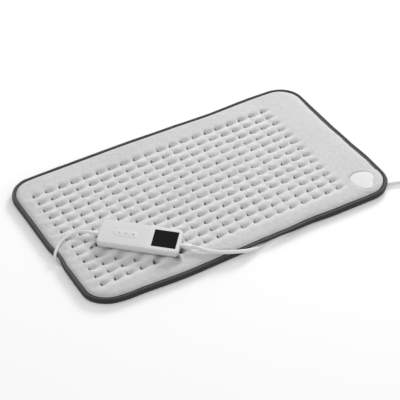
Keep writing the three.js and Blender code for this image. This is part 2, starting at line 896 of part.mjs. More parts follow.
const sensorY = firstRun + sideClear + sensorWidth / 2;
piece(
  "temperature_sensor",
  slab(sensorLength, sensorWidth, flatBottom, flatTop, fieldX, sensorY),
  "black",
);
piece(
  "cord_entry_boot",
  bar(
    [
      [bootX - bootLength, bootHeight + bindingThickness, bootHeight],
      [bootX - bootLength / 3, bootWidth, bootHeight],
      [bootX, bootWidth, bootHeight],
    ],
    bootCornerShare,
    bootY,
    bootBottom + bootHeight / 2,
  ),
  "white",
);

// The badge lies on the plush and follows it underneath.
{
  const mirrored = [...badgeShares, ...badgeShares.slice(1, -1).reverse()];
  const corners = mirrored.map((share, i) => {
    const angle = badgeTurn * degrees + (2 * Math.PI * i) / mirrored.length;
    return new THREE.Vector3(Math.cos(angle), Math.sin(angle), 0).multiplyScalar(share * badgeRadius);
  });
  const edge = new THREE.CatmullRomCurve3(corners, true).getPoints(2 * fineSides).slice(1);
  const level = (z, share) =>
    edge.map((p) => new THREE.Vector3(badgeX + share * p.x, badgeY + share * p.y, z));
  const softEdge = clearance;
  const roundShare = 1 - (2 * softEdge) / badgeRadius;
  const patch = loft([level(pitHeight, 1), level(badgeTop - softEdge, 1), level(badgeTop, roundShare)]);
  const raised = topCoverSolid.translate([0, 0, clearance]);
  const above = solid(slab(padLength, padWidth, 0, pitHeight + clearance)).add(raised);
  piece("pad_badge", geometryOf(solid(patch).subtract(above)), "badge");
}

// Controller
const controller = new THREE.Group();
controller.position.set(controllerX, controllerY, seatHeight);
controller.rotation.z = turn;
part.add(controller);

const windowX = caseLength / 2 - windowEndMargin - windowLength / 2;
const windowWidth = caseWidth - 2 * windowSideMargin;
const keypadX = keypadEndMargin + keypadLength / 2 - caseLength / 2;
const boardLength = caseLength - 2 * boardEndRoom;
const boardWidth = caseWidth - 2 * boardSideRoom;
const boardPostX = boardLength / 2 - boardPostEndInset;
const boardPostY = boardWidth / 2 - boardPostSideInset;
const bossX = caseLength / 2 - bossEndInset;
const bossY = caseWidth / 2 - bossSideInset;
const shellUnderside = caseHeight - caseWall;
const boardBottom = floorThickness + boardPostHeight + clearance;
const boardTop = boardBottom + boardThickness;
const onBoard = boardTop + clearance;
const keypadEnds = [keypadX - keypadLength / 2, keypadX + keypadLength / 2];
const bosses = [-1, 1].flatMap((a) => [-1, 1].map((b) => [a * bossX, b * bossY]));
// The screw heads are sunk in the underside.
const screwSeat = screwRecess + screwHeadHeight;
const screwTop = screwRecess + screwLength;

// A pill, the shape of the keypad, grown by an amount.
function pill(grown, bottom, top) {
  const [length, width] = [keypadLength + 2 * grown, keypadWidth + 2 * grown];
  return loft(
    [bottom, top].map((z) =>
      roundedRectangle(length, width, width / 2, 2 * quarterSteps).map(
        (p) => new THREE.Vector3(keypadX + p.x, p.y, z),
      ),
    ),
  );
}

// Holes through both shells for the necks of the strain reliefs.
const reliefHoles = [-1, 1].map((side) =>
  bar(
    [
      [side * (caseLength / 2) - caseWall - overrun, neckWidth + 2 * clearance, neckWidth + 2 * clearance],
      [side * (caseLength / 2) + caseWall + overrun, neckWidth + 2 * clearance, neckWidth + 2 * clearance],
    ],
    padReliefCornerShare,
    0,
    reliefHeight,
  ),
);
const flangeRooms = [-1, 1].map((side) =>
  slab(
    flangeLength + 2 * clearance,
    flangeWidth + 2 * clearance,
    reliefHeight - flangeWidth / 2 - clearance,
    reliefHeight + flangeWidth / 2 + clearance,
    side * (caseLength / 2 - caseWall - flangeLength / 2 - clearance),
  ),
);

{
  const bottom = partingHeight + clearance;
  const outer = block(caseLength, caseWidth, caseCorner, [
    [bottom, 0],
    [caseHeight - topFillet, sideDraft],
    [caseHeight - topFillet / 4, sideDraft + topFillet / 4],
    [caseHeight, sideDraft + topFillet],
  ]);
  const innerInset = caseWall + sideDraft;
  const inner = block(caseLength, caseWidth, caseCorner, [
    [bottom - overrun, caseWall],
    [shellUnderside - caseWall / 2, innerInset],
    [shellUnderside, innerInset + caseWall / 2],
  ]);
  const opening = (inset, from, to) =>
    block(
      windowLength + 2 * clearance,
      windowWidth + 2 * clearance,
      windowCorner,
      [
        [from, inset],
        [to, inset],
      ],
      windowX,
    );
  let shell = solid(outer).subtract(solid(inner));
  for (const [x, y] of bosses) {
    const bossBottom = partingHeight - lipHeight;
    shell = shell.add(solid(post(bossRadius, bossBottom, shellUnderside + caseWall / 2, x, y)));
    shell = shell.subtract(
      solid(post(screwRadius + clearance, bossBottom - overrun, screwTop + clearance, x, y, thinSides)),
    );
  }
  shell = shell
    .subtract(solid(opening(0, caseHeight - windowThickness - clearance, caseHeight + overrun)))
    .subtract(solid(opening(windowLedge, partingHeight, caseHeight)))
    .subtract(solid(pill(0, partingHeight, caseHeight + overrun)));
  for (const hole of reliefHoles) shell = shell.subtract(solid(hole));
  for (const room of flangeRooms) shell = shell.subtract(solid(room));
  piece("controller_upper_shell", geometryOf(shell), "white", controller);
}

{
  const outer = block(caseLength, caseWidth, caseCorner, [
    [0, bottomTuck],
    [floorThickness / 3, bottomTuck - floorThickness / 3],
    [partingHeight / 2, bottomTuck / 5],
    [partingHeight, 0],
  ]);
  const innerInset = caseWall + bottomTuck / 2;
  const inner = block(caseLength, caseWidth, caseCorner, [
    [floorThickness, innerInset],
    [partingHeight / 2, caseWall + bottomTuck / 5],
    [partingHeight + overrun, caseWall],
  ]);
  const lip = (inset, from, to) =>
    block(caseLength, caseWidth, caseCorner, [
      [from, inset],
      [to, inset],
    ]);
  const lipInset = caseWall + clearance;
  const lipBottom = partingHeight - lipHeight;
  const lipTop = partingHeight + lipHeight;
  const lipRing = solid(lip(caseWall - clearance, lipBottom, partingHeight))
    .add(solid(lip(lipInset, lipBottom, lipTop)))
    .subtract(solid(lip(lipInset + lipThickness, lipBottom - overrun, lipTop + overrun)));
  let shell = solid(outer).subtract(solid(inner)).add(lipRing);
  for (const [x, y] of bosses) {
    const room = bossRadius + clearance;
    const standTop = partingHeight - lipHeight - clearance;
    shell = shell
      .subtract(solid(post(room, standTop, lipTop + overrun, x, y)))
      .add(solid(post(room, floorThickness / 2, standTop, x, y)))
      .subtract(solid(post(screwRadius + clearance, -overrun, standTop + overrun, x, y, thinSides)))
      .subtract(solid(post(screwHeadRadius + clearance, -overrun, screwSeat + clearance, x, y)));
  }
  for (const x of [-boardPostX, boardPostX]) {
    for (const y of [-boardPostY, boardPostY]) {
      const footTop = floorThickness + boardPostHeight;
      shell = shell.add(solid(post(boardPostRadius, floorThickness / 2, footTop, x, y, thinSides)));
    }
  }
  for (const hole of reliefHoles) shell = shell.subtract(solid(hole));
  for (const room of flangeRooms) shell = shell.subtract(solid(room));
  piece("controller_lower_shell", geometryOf(shell), "white", controller);
}
bosses.forEach(([x, y], i) => {
  const head = post(screwHeadRadius, screwRecess, screwSeat, x, y);
  const slotTop = screwRecess + screwHeadHeight / 2;
  const slot = slab(2 * screwHeadRadius, screwHeadRadius / 3, 0, slotTop, x, y);
  const shank = post(screwRadius, screwSeat - screwHeadHeight / 2, screwTop, x, y, thinSides);
  piece("case_screw_" + (i + 1), geometryOf(joined(head, shank).subtract(solid(slot))), "metal", controller);
});

// Display: window, panel and the light guide that carries the panel above the board.
const windowBottom = caseHeight - windowThickness;
piece(
  "display_window",
  block(
    windowLength,
    windowWidth,
    windowCorner,
    [
      [windowBottom, 0],
      [caseHeight, 0],
    ],
    windowX,
  ),
  "glass",
  controller,
);
const lcdTop = windowBottom - clearance;
const lcdBottom = lcdTop - lcdThickness;
const lcdLength = windowLength - 2 * windowLedge;
const lcdWidth = windowWidth - 2 * windowLedge;
piece("lcd_panel", slab(lcdLength, lcdWidth, lcdBottom, lcdTop, windowX), "black", controller);
{
  const top = lcdBottom - clearance;
  const frame = slab(lcdLength, lcdWidth, onBoard, top, windowX);
  const room = slab(
    lcdLength - 2 * lightGuideWall,
    lcdWidth - 2 * lightGuideWall,
    onBoard + lightGuideWall,
    top + overrun,
    windowX,
  );
  const notch = slab(
    2 * (leadLength + 3 * clearance),
    leadSpread + leadDiameter + 2 * clearance,
    onBoard - overrun,
    reliefHeight + leadDiameter / 2 + clearance,
    caseLength / 2 - caseWall - flangeLength,
  );
  const guide = solid(frame).subtract(solid(room)).subtract(solid(notch));
  piece("light_guide", geometryOf(guide), "white", controller);
}

// Circuit board with its parts
const partsEnd = windowX - windowLength / 2 - capacitorFromWindow;
const capacitorX = partsEnd - capacitorLength / 2;
const capacitorY = boardWidth / 2 - partSideInset - capacitorWidth / 2;
const triacX = partsEnd - triacLength / 2;
const triacY = partSideInset + triacWidth / 2 - boardWidth / 2;
const fuseX = fuseEndInset - boardLength / 2;
piece(
  "circuit_board",
  block(boardLength, boardWidth, boardPostRadius, [
    [boardBottom, 0],
    [boardTop, 0],
  ]),
  "board",
  controller,
);
piece(
  "film_capacitor",
  block(
    capacitorLength,
    capacitorWidth,
    windowCorner,
    [
      [onBoard, 0],
      [onBoard + capacitorHeight - windowCorner / 2, 0],
      [onBoard + capacitorHeight, windowCorner / 2],
    ],
    capacitorX,
    capacitorY,
  ),
  "amber",
  controller,
);
piece(
  "triac",
  slab(triacLength, triacWidth, onBoard, onBoard + triacHeight, triacX, triacY),
  "black",
  controller,
);
piece(
  "fuse",
  roller(fuseRadius, -fuseLength / 2, fuseLength / 2, 0, 0)
    .rotateZ(Math.PI / 2)
    .translate(fuseX, 0, onBoard + fuseRadius),
  "metal",
  controller,
);
piece(
  "control_chip",
  slab(
    chipSize,
    chipSize,
    boardBottom - clearance - chipHeight,
    boardBottom - clearance,
    keypadEnds[1] + chipFromKeys,
  ),
  "black",
  controller,
);

// Keys, each with its plunger in the switch below it
const middleHalf = middleKeyLength / 2;
const keyZones = {
  minus: [keypadEnds[0] - overrun, keypadX - middleHalf],
  power: [keypadX - middleHalf, keypadX + middleHalf],
  plus: [keypadX + middleHalf, keypadEnds[1] + overrun],
};
const switchBottom = onBoard;
const switchTop = switchBottom + switchHeight;
const plungerTop = switchTop + plungerProud;
const flangeTop = shellUnderside - clearance;
const flangeBottom = flangeTop - keyFlangeThickness;
const keyPitch = middleHalf + (keypadLength / 2 - middleHalf) / 2;
const keyMiddles = { minus: keypadX - keyPitch, power: keypadX, plus: keypadX + keyPitch };
for (const [name, [from, to]] of Object.entries(keyZones)) {
  const middle = keyMiddles[name];
  const zone = solid(
    slab(to - from - keyGap, keypadWidth + 2 * overrun, 0, caseHeight + overrun, (from + to) / 2),
  );
  const cap = solid(pill(-clearance, flangeBottom, caseHeight + keyProud));
  const flange = solid(pill(keyFlange, flangeBottom, flangeTop));
  const stem = solid(post(keyStemRadius, plungerTop + clearance, flangeTop, middle, 0));
  piece("key_" + name, geometryOf(cap.add(flange).intersect(zone).add(stem)), "white", controller);

  const body = solid(slab(switchSize, switchSize, switchBottom, switchTop, middle));
  const bore = solid(post(switchBore, switchBottom + switchFloor, switchTop + overrun, middle, 0));
  piece("switch_" + name, geometryOf(body.subtract(bore)), "metal", controller);
  const plungerBottom = switchBottom + switchFloor + keyTravel + clearance;
  piece("plunger_" + name, post(plungerRadius, plungerBottom, plungerTop, middle, 0), "black", controller);
}

// Strain reliefs: a flange inside the wall, a neck through it and a tapered block outside.
{
  const flangeEnd = caseLength / 2 - caseWall - clearance;
  const flangeStart = flangeEnd - flangeLength;
  const wallEnd = caseLength / 2 + clearance;
  const square = (x, width) => [x, width, width];
  const padRelief = bar(
    [
      square(flangeStart, flangeWidth),
      square(flangeEnd, flangeWidth),
      square(flangeEnd + clearance / 2, neckWidth),
      square(wallEnd, neckWidth),
      square(wallEnd + clearance, padReliefWidth),
      square(caseLength / 2 + padReliefLength, padReliefTip),
    ],
    padReliefCornerShare,
    0,
    reliefHeight,
  ).rotateZ(Math.PI);
  piece("strain_relief_pad_side", padRelief, "white", controller);
  const mainsRelief = bar(
    [
      square(flangeStart, flangeWidth),
      square(flangeEnd, flangeWidth),
      square(flangeEnd + clearance / 2, neckWidth),
      square(caseLength / 2 + mainsReliefNeck, neckWidth),
      square(caseLength / 2 + mainsReliefNeck + clearance, mainsReliefWidth),
      square(caseLength / 2 + mainsReliefLength, mainsReliefTip),
    ],
    mainsReliefCornerShare,
    0,
    reliefHeight,
  );
  piece("strain_relief_mains_side", mainsRelief, "white", controller);
  for (const [name, side] of [
    ["pad_lead_wire", -1],
    ["mains_lead_wire", 1],
  ]) {
    for (const y of [leadSpread / 2, -leadSpread / 2]) {
      const start = side * (flangeStart - clearance);
      const end = start - side * leadLength;
      const low = onBoard + leadDiameter / 2;
      const route = new THREE.CatmullRomCurve3([
        new THREE.Vector3(start, y, Math.max(reliefHeight, low)),
        new THREE.Vector3((start + end) / 2, y, Math.max((reliefHeight + low) / 2, low)),
        new THREE.Vector3(end, y, low),
      ]);
      const wire = tube(route, leadDiameter, wireSides, leadSteps);
      piece(name + (y > 0 ? "_1" : "_2"), wire, "amber", controller);
    }
  }
}

// Cords
piece("pad_cord", tube(padCordCurve, padCordDiameter, cordSides, padCordSteps), "white");
piece("mains_cord", tube(mainsCordCurve, mainsCordDiameter, cordSides, mainsCordSteps), "white");
piece("mains_cord_coil", tube(coilPath, mainsCordDiameter, coilSides, coilPoints.length - 1), "white");
piece("mains_cord_tail", tube(tailCurve, mainsCordDiameter, cordSides, tailSteps), "white");

// Two ties hold the coil, each a flat band round its section.
tieAngles.forEach((angle, i) => {
  const half = mainsCordDiameter / 2 + clearance;
  const inner = coilInnerRadius - half;
  const outer = coilOuterRadius + half;
  const bandTop = coilBottom + coilPitch + half;
  const bandBottom = coilBottom - half;
  const room = bar(
    [
      [-tieWidth, outer - inner, bandTop - bandBottom],
      [tieWidth, outer - inner, bandTop - bandBottom],
    ],
    tieCornerShare,
    (inner + outer) / 2,
    (bandTop + bandBottom) / 2,
  );
  const [width, height] = [outer - inner + 2 * tieThickness, bandTop - bandBottom + 2 * tieThickness];
  const band = bar(
    [
      [-tieWidth / 2, width, height],
      [tieWidth / 2, width, height],
    ],
    tieCornerShare,
    (inner + outer) / 2,
    (bandTop + bandBottom) / 2,
  );
  const mesh = piece("coil_tie_" + (i + 1), geometryOf(solid(band).subtract(solid(room))), "black");
  mesh.position.set(coilX, coilY, 0);
  mesh.rotation.z = angle * degrees - Math.PI / 2;
});

// Plug along +Y, flat side down
{
  const plug = new THREE.Group();
  plug.position.set(plugX, plugY, plugThickness / 2);
  plug.rotation.z = Math.PI / 2;
  part.add(plug);
  const bodyStart = plugReliefLength;
  const face = plugReliefLength + plugLength;
  const body = bar(
    [
      [0, plugReliefWidth, plugReliefWidth],
      [bodyStart - plugCorner, plugReliefWidth + plugCorner, plugReliefWidth + plugCorner / 2],
      [bodyStart, plugWaist, plugWaistThickness],
      [bodyStart + plugLength / 4, plugWaist, plugWaistThickness],
      [face - plugCorner, plugWidth, plugThickness],
      [face, plugWidth, plugThickness],
    ],
    plugCornerShare,
  );
  let cut = solid(body);
  for (const side of [-1, 1]) {
    const y = (side * pinSpacing) / 2;
    const bore = roller(pinDiameter / 2 + clearance, face - pinSeat, face + overrun, y, 0);
    cut = cut.subtract(solid(bore));
  }
  piece("mains_plug", geometryOf(cut), "white", plug);
  for (const [name, side] of [
    ["plug_pin_left", 1],
    ["plug_pin_right", -1],
  ]) {
    const y = (side * pinSpacing) / 2;
    const shaftEnd = face + pinLength - pinDiameter / 2;
    const shaft = roller(pinDiameter / 2, face - pinSeat + clearance, shaftEnd, y, 0);
    const tip = new THREE.SphereGeometry(pinDiameter / 2, coarseSides, thinSides)
      .rotateZ(Math.PI / 2)
      .translate(shaftEnd, y, 0);
    piece(name, geometryOf(joined(shaft, tip)), "metal", plug);
  }
}

export default part;
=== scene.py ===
import bpy
import bmesh
import math
import numpy as np
from mathutils import Matrix, Vector, noise
from mathutils.kdtree import KDTree


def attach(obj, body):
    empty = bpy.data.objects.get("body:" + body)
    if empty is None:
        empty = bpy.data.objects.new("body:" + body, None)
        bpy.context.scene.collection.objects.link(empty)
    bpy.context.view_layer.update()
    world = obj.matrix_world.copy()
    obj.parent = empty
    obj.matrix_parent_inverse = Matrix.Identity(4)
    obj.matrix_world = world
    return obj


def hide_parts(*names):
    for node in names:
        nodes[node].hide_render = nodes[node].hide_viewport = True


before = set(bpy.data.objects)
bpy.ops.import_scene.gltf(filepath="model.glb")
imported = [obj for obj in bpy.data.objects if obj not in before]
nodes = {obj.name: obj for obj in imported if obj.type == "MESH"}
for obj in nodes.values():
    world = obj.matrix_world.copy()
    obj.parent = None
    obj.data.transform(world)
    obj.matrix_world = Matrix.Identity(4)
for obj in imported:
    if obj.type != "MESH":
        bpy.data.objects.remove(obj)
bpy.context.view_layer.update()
print("frame loaded,", len(nodes), "CAD nodes")

turnAll = 2 * math.pi
tiny = 1e-6   # metres, when places are compared


# shader maths: a wire is an output socket, and arithmetic on it adds nodes
class Wire:
    def __init__(self, finish, socket):
        self.finish = finish
        self.socket = socket

    def maths(self, operation, first, second):
        return self.finish.node("Math", {"operation": operation}, {0: first, 1: second})

    def __add__(self, other):
        return self.maths("ADD", self, other)

    def __radd__(self, other):
        return self.maths("ADD", other, self)

    def __sub__(self, other):
        return self.maths("SUBTRACT", self, other)

    def __rsub__(self, other):
        return self.maths("SUBTRACT", other, self)

    def __mul__(self, other):
        return self.maths("MULTIPLY", self, other)

    def __rmul__(self, other):
        return self.maths("MULTIPLY", other, self)

    def __truediv__(self, other):
        return self.maths("DIVIDE", self, other)


class Finish:
    def __init__(self, name, **values):
        self.material = bpy.data.materials.new(name)
        self.material.use_nodes = True
        self.tree = self.material.node_tree
        self.tree.nodes.clear()
        self.shader = self.tree.nodes.new("ShaderNodeBsdfPrincipled")
        output = self.tree.nodes.new("ShaderNodeOutputMaterial")
        self.tree.links.new(self.shader.outputs[0], output.inputs["Surface"])
        self.plugAll(self.shader, values)

    def plugAll(self, target, values):
        for name, value in values.items():
            socket = target.inputs[name.replace("_", " ") if isinstance(name, str) else name]
            if isinstance(value, Wire):
                self.tree.links.new(value.socket, socket)
            else:
                socket.default_value = value

    def node(self, kind, settings=None, inputs=None, output=0):
        made = self.tree.nodes.new("ShaderNode" + kind)
        for name, value in (settings or {}).items():
            if name == "stops":
                ramp = made.color_ramp
                for index, (place, colour) in enumerate(value):
                    stop = ramp.elements[index] if index < 2 else ramp.elements.new(place)
                    stop.position = place
                    stop.color = colour
            else:
                setattr(made, name, value)
        self.plugAll(made, inputs or {})
        return Wire(self, made.outputs[output])

    def place(self, centre=(0, 0, 0), turn=0):
        coordinates = self.node("TexCoord", output="Object")
        moved = self.node("VectorMath", {"operation": "SUBTRACT"}, {0: coordinates, 1: centre})
        return self.node("Mapping", {"vector_type": "POINT"}, {"Vector": moved, "Rotation": (0, 0, -turn)})

    def grain(self, scale, detail=3, roughness=0.55, place=None):
        inputs = {"Vector": place or self.place(), "Scale": scale, "Detail": detail, "Roughness": roughness}
        return self.node("TexNoise", {}, inputs, output="Fac")

    def waves(self, way, place, scale, distortion):
        inputs = {"Vector": place, "Scale": scale, "Distortion": distortion}
        return self.node("TexWave", {"bands_direction": way}, inputs, output="Fac")

    def blendColours(self, share, first, second):
        return self.node("Mix", {"data_type": "RGBA"}, {0: share, 6: first, 7: second}, output=2)

    def clamped(self, value, low, high):
        inputs = {"Value": value, 1: low, 2: high}
        return self.node("MapRange", {"interpolation_type": "SMOOTHSTEP"}, inputs)

    def bump(self, height, distance, strength=1.0):
        inputs = {"Height": height, "Distance": distance, "Strength": strength}
        return self.node("Bump", {}, inputs, output="Normal")

    def wear(self, **values):
        self.plugAll(self.shader, values)
        return self


def grey(level, warm=0.0, plum=0.0):
    return (level * (1 + warm), level * (1 - plum), level * (1 - warm), 1)


# the pad's cloths: grey levels, dark and light
cloths = {
    "plush": (0.69, 0.80),
    "plushPaintedHighlight": 0.97,
    "plushPaintedShade": 0.05,
    "knit": (0.55, 0.64),
    "tapeWidth": 0.0150,
    # across the tape from the plush outwards: share of its width, grey level, plum share; the outer side is
    # painted darker as shade
    "tapeShadedSide": [(0.46, 0.115, 0.05), (0.58, 0.032, 0.05), (1.0, 0.022, 0.05)],
    "tapeBehind": [(0.0, 0.10, 0.05)],
    # in front of the pad the groove next to the plush is painted near black as shade
    "tapeShadedGrooveInFront": [(0.0, 0.007, 0), (0.16, 0.007, 0), (0.23, 0.115, 0.05)],   # with a dark groove
    "tapeGrooveShadeFrom": (0.085, 0.115),   # that far in front of the middle
    "tapeWorn": 0.70,
    "thread": (0.02, 0.05),
}


def plushFinish():
    # the attribute paints shade into the pile's colour round each stitch, at the controller's foot, behind
    # the badge and in bands behind the rows, and below 0 it paints highlight in bands in front of the rows
    plush = Finish("shortPlush", Roughness=1, Sheen_Weight=0.25, Sheen_Roughness=0.6, Specular_IOR_Level=0.1)
    pile = plush.grain(620, 4, 0.7)
    tufty = plush.grain(150, 3, 0.6)
    broad = plush.grain(14, 2, 0.5)
    paintedShadeAndHighlight = plush.node("Attribute", {"attribute_name": "paintedShadeAndHighlight"}, {}, output="Fac")
    shade = plush.clamped(pile * 0.45 + tufty * 0.35 + broad * 0.2, 0.36, 0.64)
    dark, light = cloths["plush"]
    cloth = plush.blendColours(shade, grey(dark), grey(light))
    paintedRowBands = plush.blendColours(plush.clamped(paintedShadeAndHighlight * -1, 0, 1), cloth, grey(cloths["plushPaintedHighlight"]))
    colour = plush.blendColours(plush.clamped(paintedShadeAndHighlight, 0, 1), paintedRowBands, grey(cloths["plushPaintedShade"]))
    height = pile * 0.5 + tufty
    return plush.wear(Base_Color=colour, Normal=plush.bump(height, 0.0011, 0.55))


def knitFinish():
    knit = Finish("smoothKnit", Roughness=0.95, Sheen_Weight=0.15, Specular_IOR_Level=0.15)
    place = knit.place()
    rows, loops = knit.waves("Y", place, 260, 0.6), knit.waves("X", place, 190, 0.4)
    fuzz = knit.grain(420, 3)
    dark, light = cloths["knit"]
    colour = knit.blendColours(knit.clamped(fuzz, 0.35, 0.65), grey(dark), grey(light))
    return knit.wear(Base_Color=colour, Normal=knit.bump(rows * loops + fuzz * 0.4, 0.0005, 0.6))


def tapeFinish():
    # U runs along the tape and V across it, both in metres, from the plush outwards
    tape = Finish("ribbedTape", Roughness=0.82, Sheen_Weight=0.2, Specular_IOR_Level=0.3)
    mapped = tape.node("UVMap", {"uv_map": "tapeMap"}, {}, output="UV")
    across = tape.node("SeparateXYZ", {}, {0: mapped}, output="Y")
    waves = {"Vector": mapped, "Scale": 150, "Distortion": 1.2, "Detail": 2.0, "Detail Scale": 2.0}
    ribs = tape.node("TexWave", {"bands_direction": "X"}, waves, output="Fac")
    fuzz = tape.grain(700, 3)
    broad = tape.grain(60, 3)
    shade = tape.clamped(fuzz * 0.35 + broad * 0.35 + ribs * 0.3, 0.3, 0.7)
    # the groove is painted dark as shade towards the front of the pad, and the tape's outer side is painted
    # darker as shade
    forwards = tape.node("SeparateXYZ", {}, {0: tape.place()}, output="Y") * -1
    grooveShadeInFront = tape.clamped(forwards, *cloths["tapeGrooveShadeFrom"])
    share = across * (1 / cloths["tapeWidth"])
    ramps = []
    for inner in ("tapeBehind", "tapeShadedGrooveInFront"):
        stops = [(place, grey(level, 0, plum)) for place, level, plum in cloths[inner] + cloths["tapeShadedSide"]]
        ramps.append(tape.node("ValToRGB", {"stops": stops}, {0: share}, output="Color"))
    light = tape.blendColours(grooveShadeInFront, *ramps)
    dark = tape.node("MixRGB", {"blend_type": "MULTIPLY"}, {0: 1.0, 1: light, 2: grey(cloths["tapeWorn"])})
    colour = tape.blendColours(shade, dark, light)
    return tape.wear(Base_Color=colour, Normal=tape.bump(ribs + fuzz * 0.5, 0.0006, 0.7))


def threadFinish():
    thread = Finish("darkThread", Roughness=0.6)
    twist = thread.grain(1800, 2)
    dark, light = cloths["thread"]
    colour = thread.blendColours(twist, grey(dark), grey(light))
    return thread.wear(Base_Color=colour, Normal=thread.bump(twist, 0.0002))


def mouldedFinish(name, level, roughness=0.5, warm=0.005, speckle=900):
    moulded = Finish(name, Coat_Roughness=0.3)
    fine = moulded.grain(speckle, 3)
    broad = moulded.grain(30, 2)
    shade = moulded.clamped(broad * 0.6 + fine * 0.4, 0.3, 0.7)
    colour = moulded.blendColours(shade, grey(level * 0.97, warm), grey(level * 1.02, warm))
    rough = roughness + (fine - 0.5) * 0.08
    return moulded.wear(Base_Color=colour, Roughness=rough, Normal=moulded.bump(fine, 0.0001, 0.35))


def caseFinish(controller):
    # fine lines across the keypad's part of the top, plain round the display
    case = Finish("caseWhite")
    place = case.place(controller["centre"], controller["turn"])
    split = case.node("SeparateXYZ", {}, {0: place})
    high = case.node("SeparateXYZ", {}, {0: place}, output="Z")
    pitch = controller["linePitch"]
    columns = case.node("Math", {"operation": "PINGPONG"}, {0: split, 1: pitch / 2}) / (pitch / 2)
    lines = case.clamped(columns, 0.35, 0.85)
    area = 1 - case.clamped(split, controller["lineEnd"] - controller["lineFade"], controller["lineEnd"])
    top = case.clamped(high, *(controller["height"] - down for down in controller["topFade"]))
    lined = lines * area * top
    fine = case.grain(1300, 3)
    colour = case.blendColours(lined, grey(0.84, 0.004), grey(0.76, 0.004))
    rough = 0.42 + fine * 0.1
    relief = fine * 0.15 - lined
    return case.wear(Base_Color=colour, Roughness=rough, Normal=case.bump(relief, 0.00012, 0.5))


def glassFinish():
    glass = Finish("displayBlack", IOR=1.16)
    haze = glass.grain(60, 2)
    colour = glass.blendColours(haze, grey(0.008), grey(0.011))
    return glass.wear(Base_Color=colour, Roughness=0.05 + haze * 0.05)


def metalFinish(name, level, roughness, warm=0.0):
    metal = Finish(name, Metallic=1.0)
    brushed = metal.grain(900, 2)
    colour = metal.blendColours(brushed, grey(level * 0.9, warm), grey(level, warm))
    return metal.wear(Base_Color=colour, Roughness=roughness + brushed * 0.12)


def boardFinish(controller):
    board = Finish("boardGreen", Coat_Weight=0.4, Coat_Roughness=0.15)
    place = board.place(controller["centre"], controller["turn"])
    bricks = {"Vector": place, "Scale": 260, "Mortar Size": 0.05}
    tracks = board.node("TexBrick", {"offset": 0.3}, bricks, output="Fac")
    colour = board.blendColours(tracks, (0.02, 0.13, 0.05, 1), (0.05, 0.25, 0.09, 1))
    return board.wear(Base_Color=colour, Roughness=0.35 + tracks * 0.1)


def colouredFinish(name, colour, roughness, scale=500):
    dyed = Finish(name)
    fine = dyed.grain(scale, 3)
    dark = tuple(c * 0.85 for c in colour[:3]) + (1,)
    return dyed.wear(
        Base_Color=dyed.blendColours(fine, dark, colour),
        Roughness=roughness + fine * 0.1,
        Normal=dyed.bump(fine, 0.0002, 0.4),
    )


# small modelling helpers
def deselect():
    if bpy.context.object and bpy.context.object.mode != "OBJECT":
        bpy.ops.object.mode_set(mode="OBJECT")
    bpy.ops.object.select_all(action="DESELECT")


def only(piece):
    deselect()
    piece.select_set(True)
    bpy.context.view_layer.objects.active = piece


def settle(piece):
    # the piece's place goes into its mesh
    piece.data.transform(piece.matrix_world)
    piece.matrix_world = Matrix.Identity(4)
    return piece


def finishPiece(piece, name, body, finish, replaced=()):
    # body is the frame's body that it rides on, and replaced the CAD nodes that it stands for
    piece.name = name
    piece.data.name = name
    piece.data.materials.clear()
    piece.data.materials.append(finish.material)
    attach(piece, body)
    if replaced:
        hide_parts(*replaced)
    return piece


def meshPiece(name, points, faces):
    mesh = bpy.data.meshes.new(name)
    mesh.from_pydata([tuple(p) for p in points], [], [tuple(f) for f in faces])
    mesh.update()
    piece = bpy.data.objects.new(name, mesh)
    bpy.context.scene.collection.objects.link(piece)
    return piece


def pick(piece, edges=None, faces=None):
    # selects in code, then goes into edit mode
    only(piece)
    mesh = piece.data
    for item in (*mesh.vertices, *mesh.edges, *mesh.polygons):
        item.select = False
    bpy.context.tool_settings.mesh_select_mode = (False, edges is not None, faces is not None)
    if edges is not None:
        for edge in mesh.edges:
            a, b = (mesh.vertices[v].co for v in edge.vertices)
            if edges(a, b):
                edge.select = True
                for v in edge.vertices:
                    mesh.vertices[v].select = True
    if faces is not None:
        for face in mesh.polygons:
            if faces(face.center, face.normal):
                face.select = True
                for v in face.vertices:
                    mesh.vertices[v].select = True
    bpy.ops.object.mode_set(mode="EDIT")


def leave():
    bpy.ops.object.mode_set(mode="OBJECT")


def roundEdges(piece, width, segments, edges):
    pick(piece, edges=edges)
    bpy.ops.mesh.bevel(offset=width, segments=segments, affect="EDGES", clamp_overlap=True)
    leave()


def modify(piece, kind, **settings):
    only(piece)
    modifier = piece.modifiers.new(kind.lower(), kind)
    for name, value in settings.items():
        setattr(modifier, name, value)
    bpy.ops.object.modifier_apply(modifier=modifier.name)
    return piece


def combine(operation, piece, *tools):
    for tool in tools:
        modify(piece, "BOOLEAN", operation=operation, object=tool, solver="EXACT")
        bpy.data.objects.remove(tool)
    return piece


def cut(piece, *tools):
    return combine("DIFFERENCE", piece, *tools)


def join(piece, *others):
    return combine("UNION", piece, *others)


def faceOutwards(piece):
    only(piece)
    bpy.ops.object.mode_set(mode="EDIT")
    bpy.ops.mesh.select_all(action="SELECT")
    bpy.ops.mesh.normals_make_consistent(inside=False)
    leave()


def smooth(piece, degrees=35):
    only(piece)
    bpy.ops.object.shade_smooth_by_angle(angle=math.radians(degrees))
    return piece


def soften(piece, width, segments=2, degrees=35):
    return modify(piece, "BEVEL", width=width, segments=segments, limit_method="ANGLE",
                  angle_limit=math.radians(degrees), harden_normals=False, use_clamp_overlap=True)


def cube(low, high):
    deselect()
    bpy.ops.mesh.primitive_cube_add(size=1)
    piece = bpy.context.object
    low, high = Vector(low), Vector(high)
    piece.location = (low + high) / 2
    piece.scale = high - low
    bpy.context.view_layer.update()
    return settle(piece)


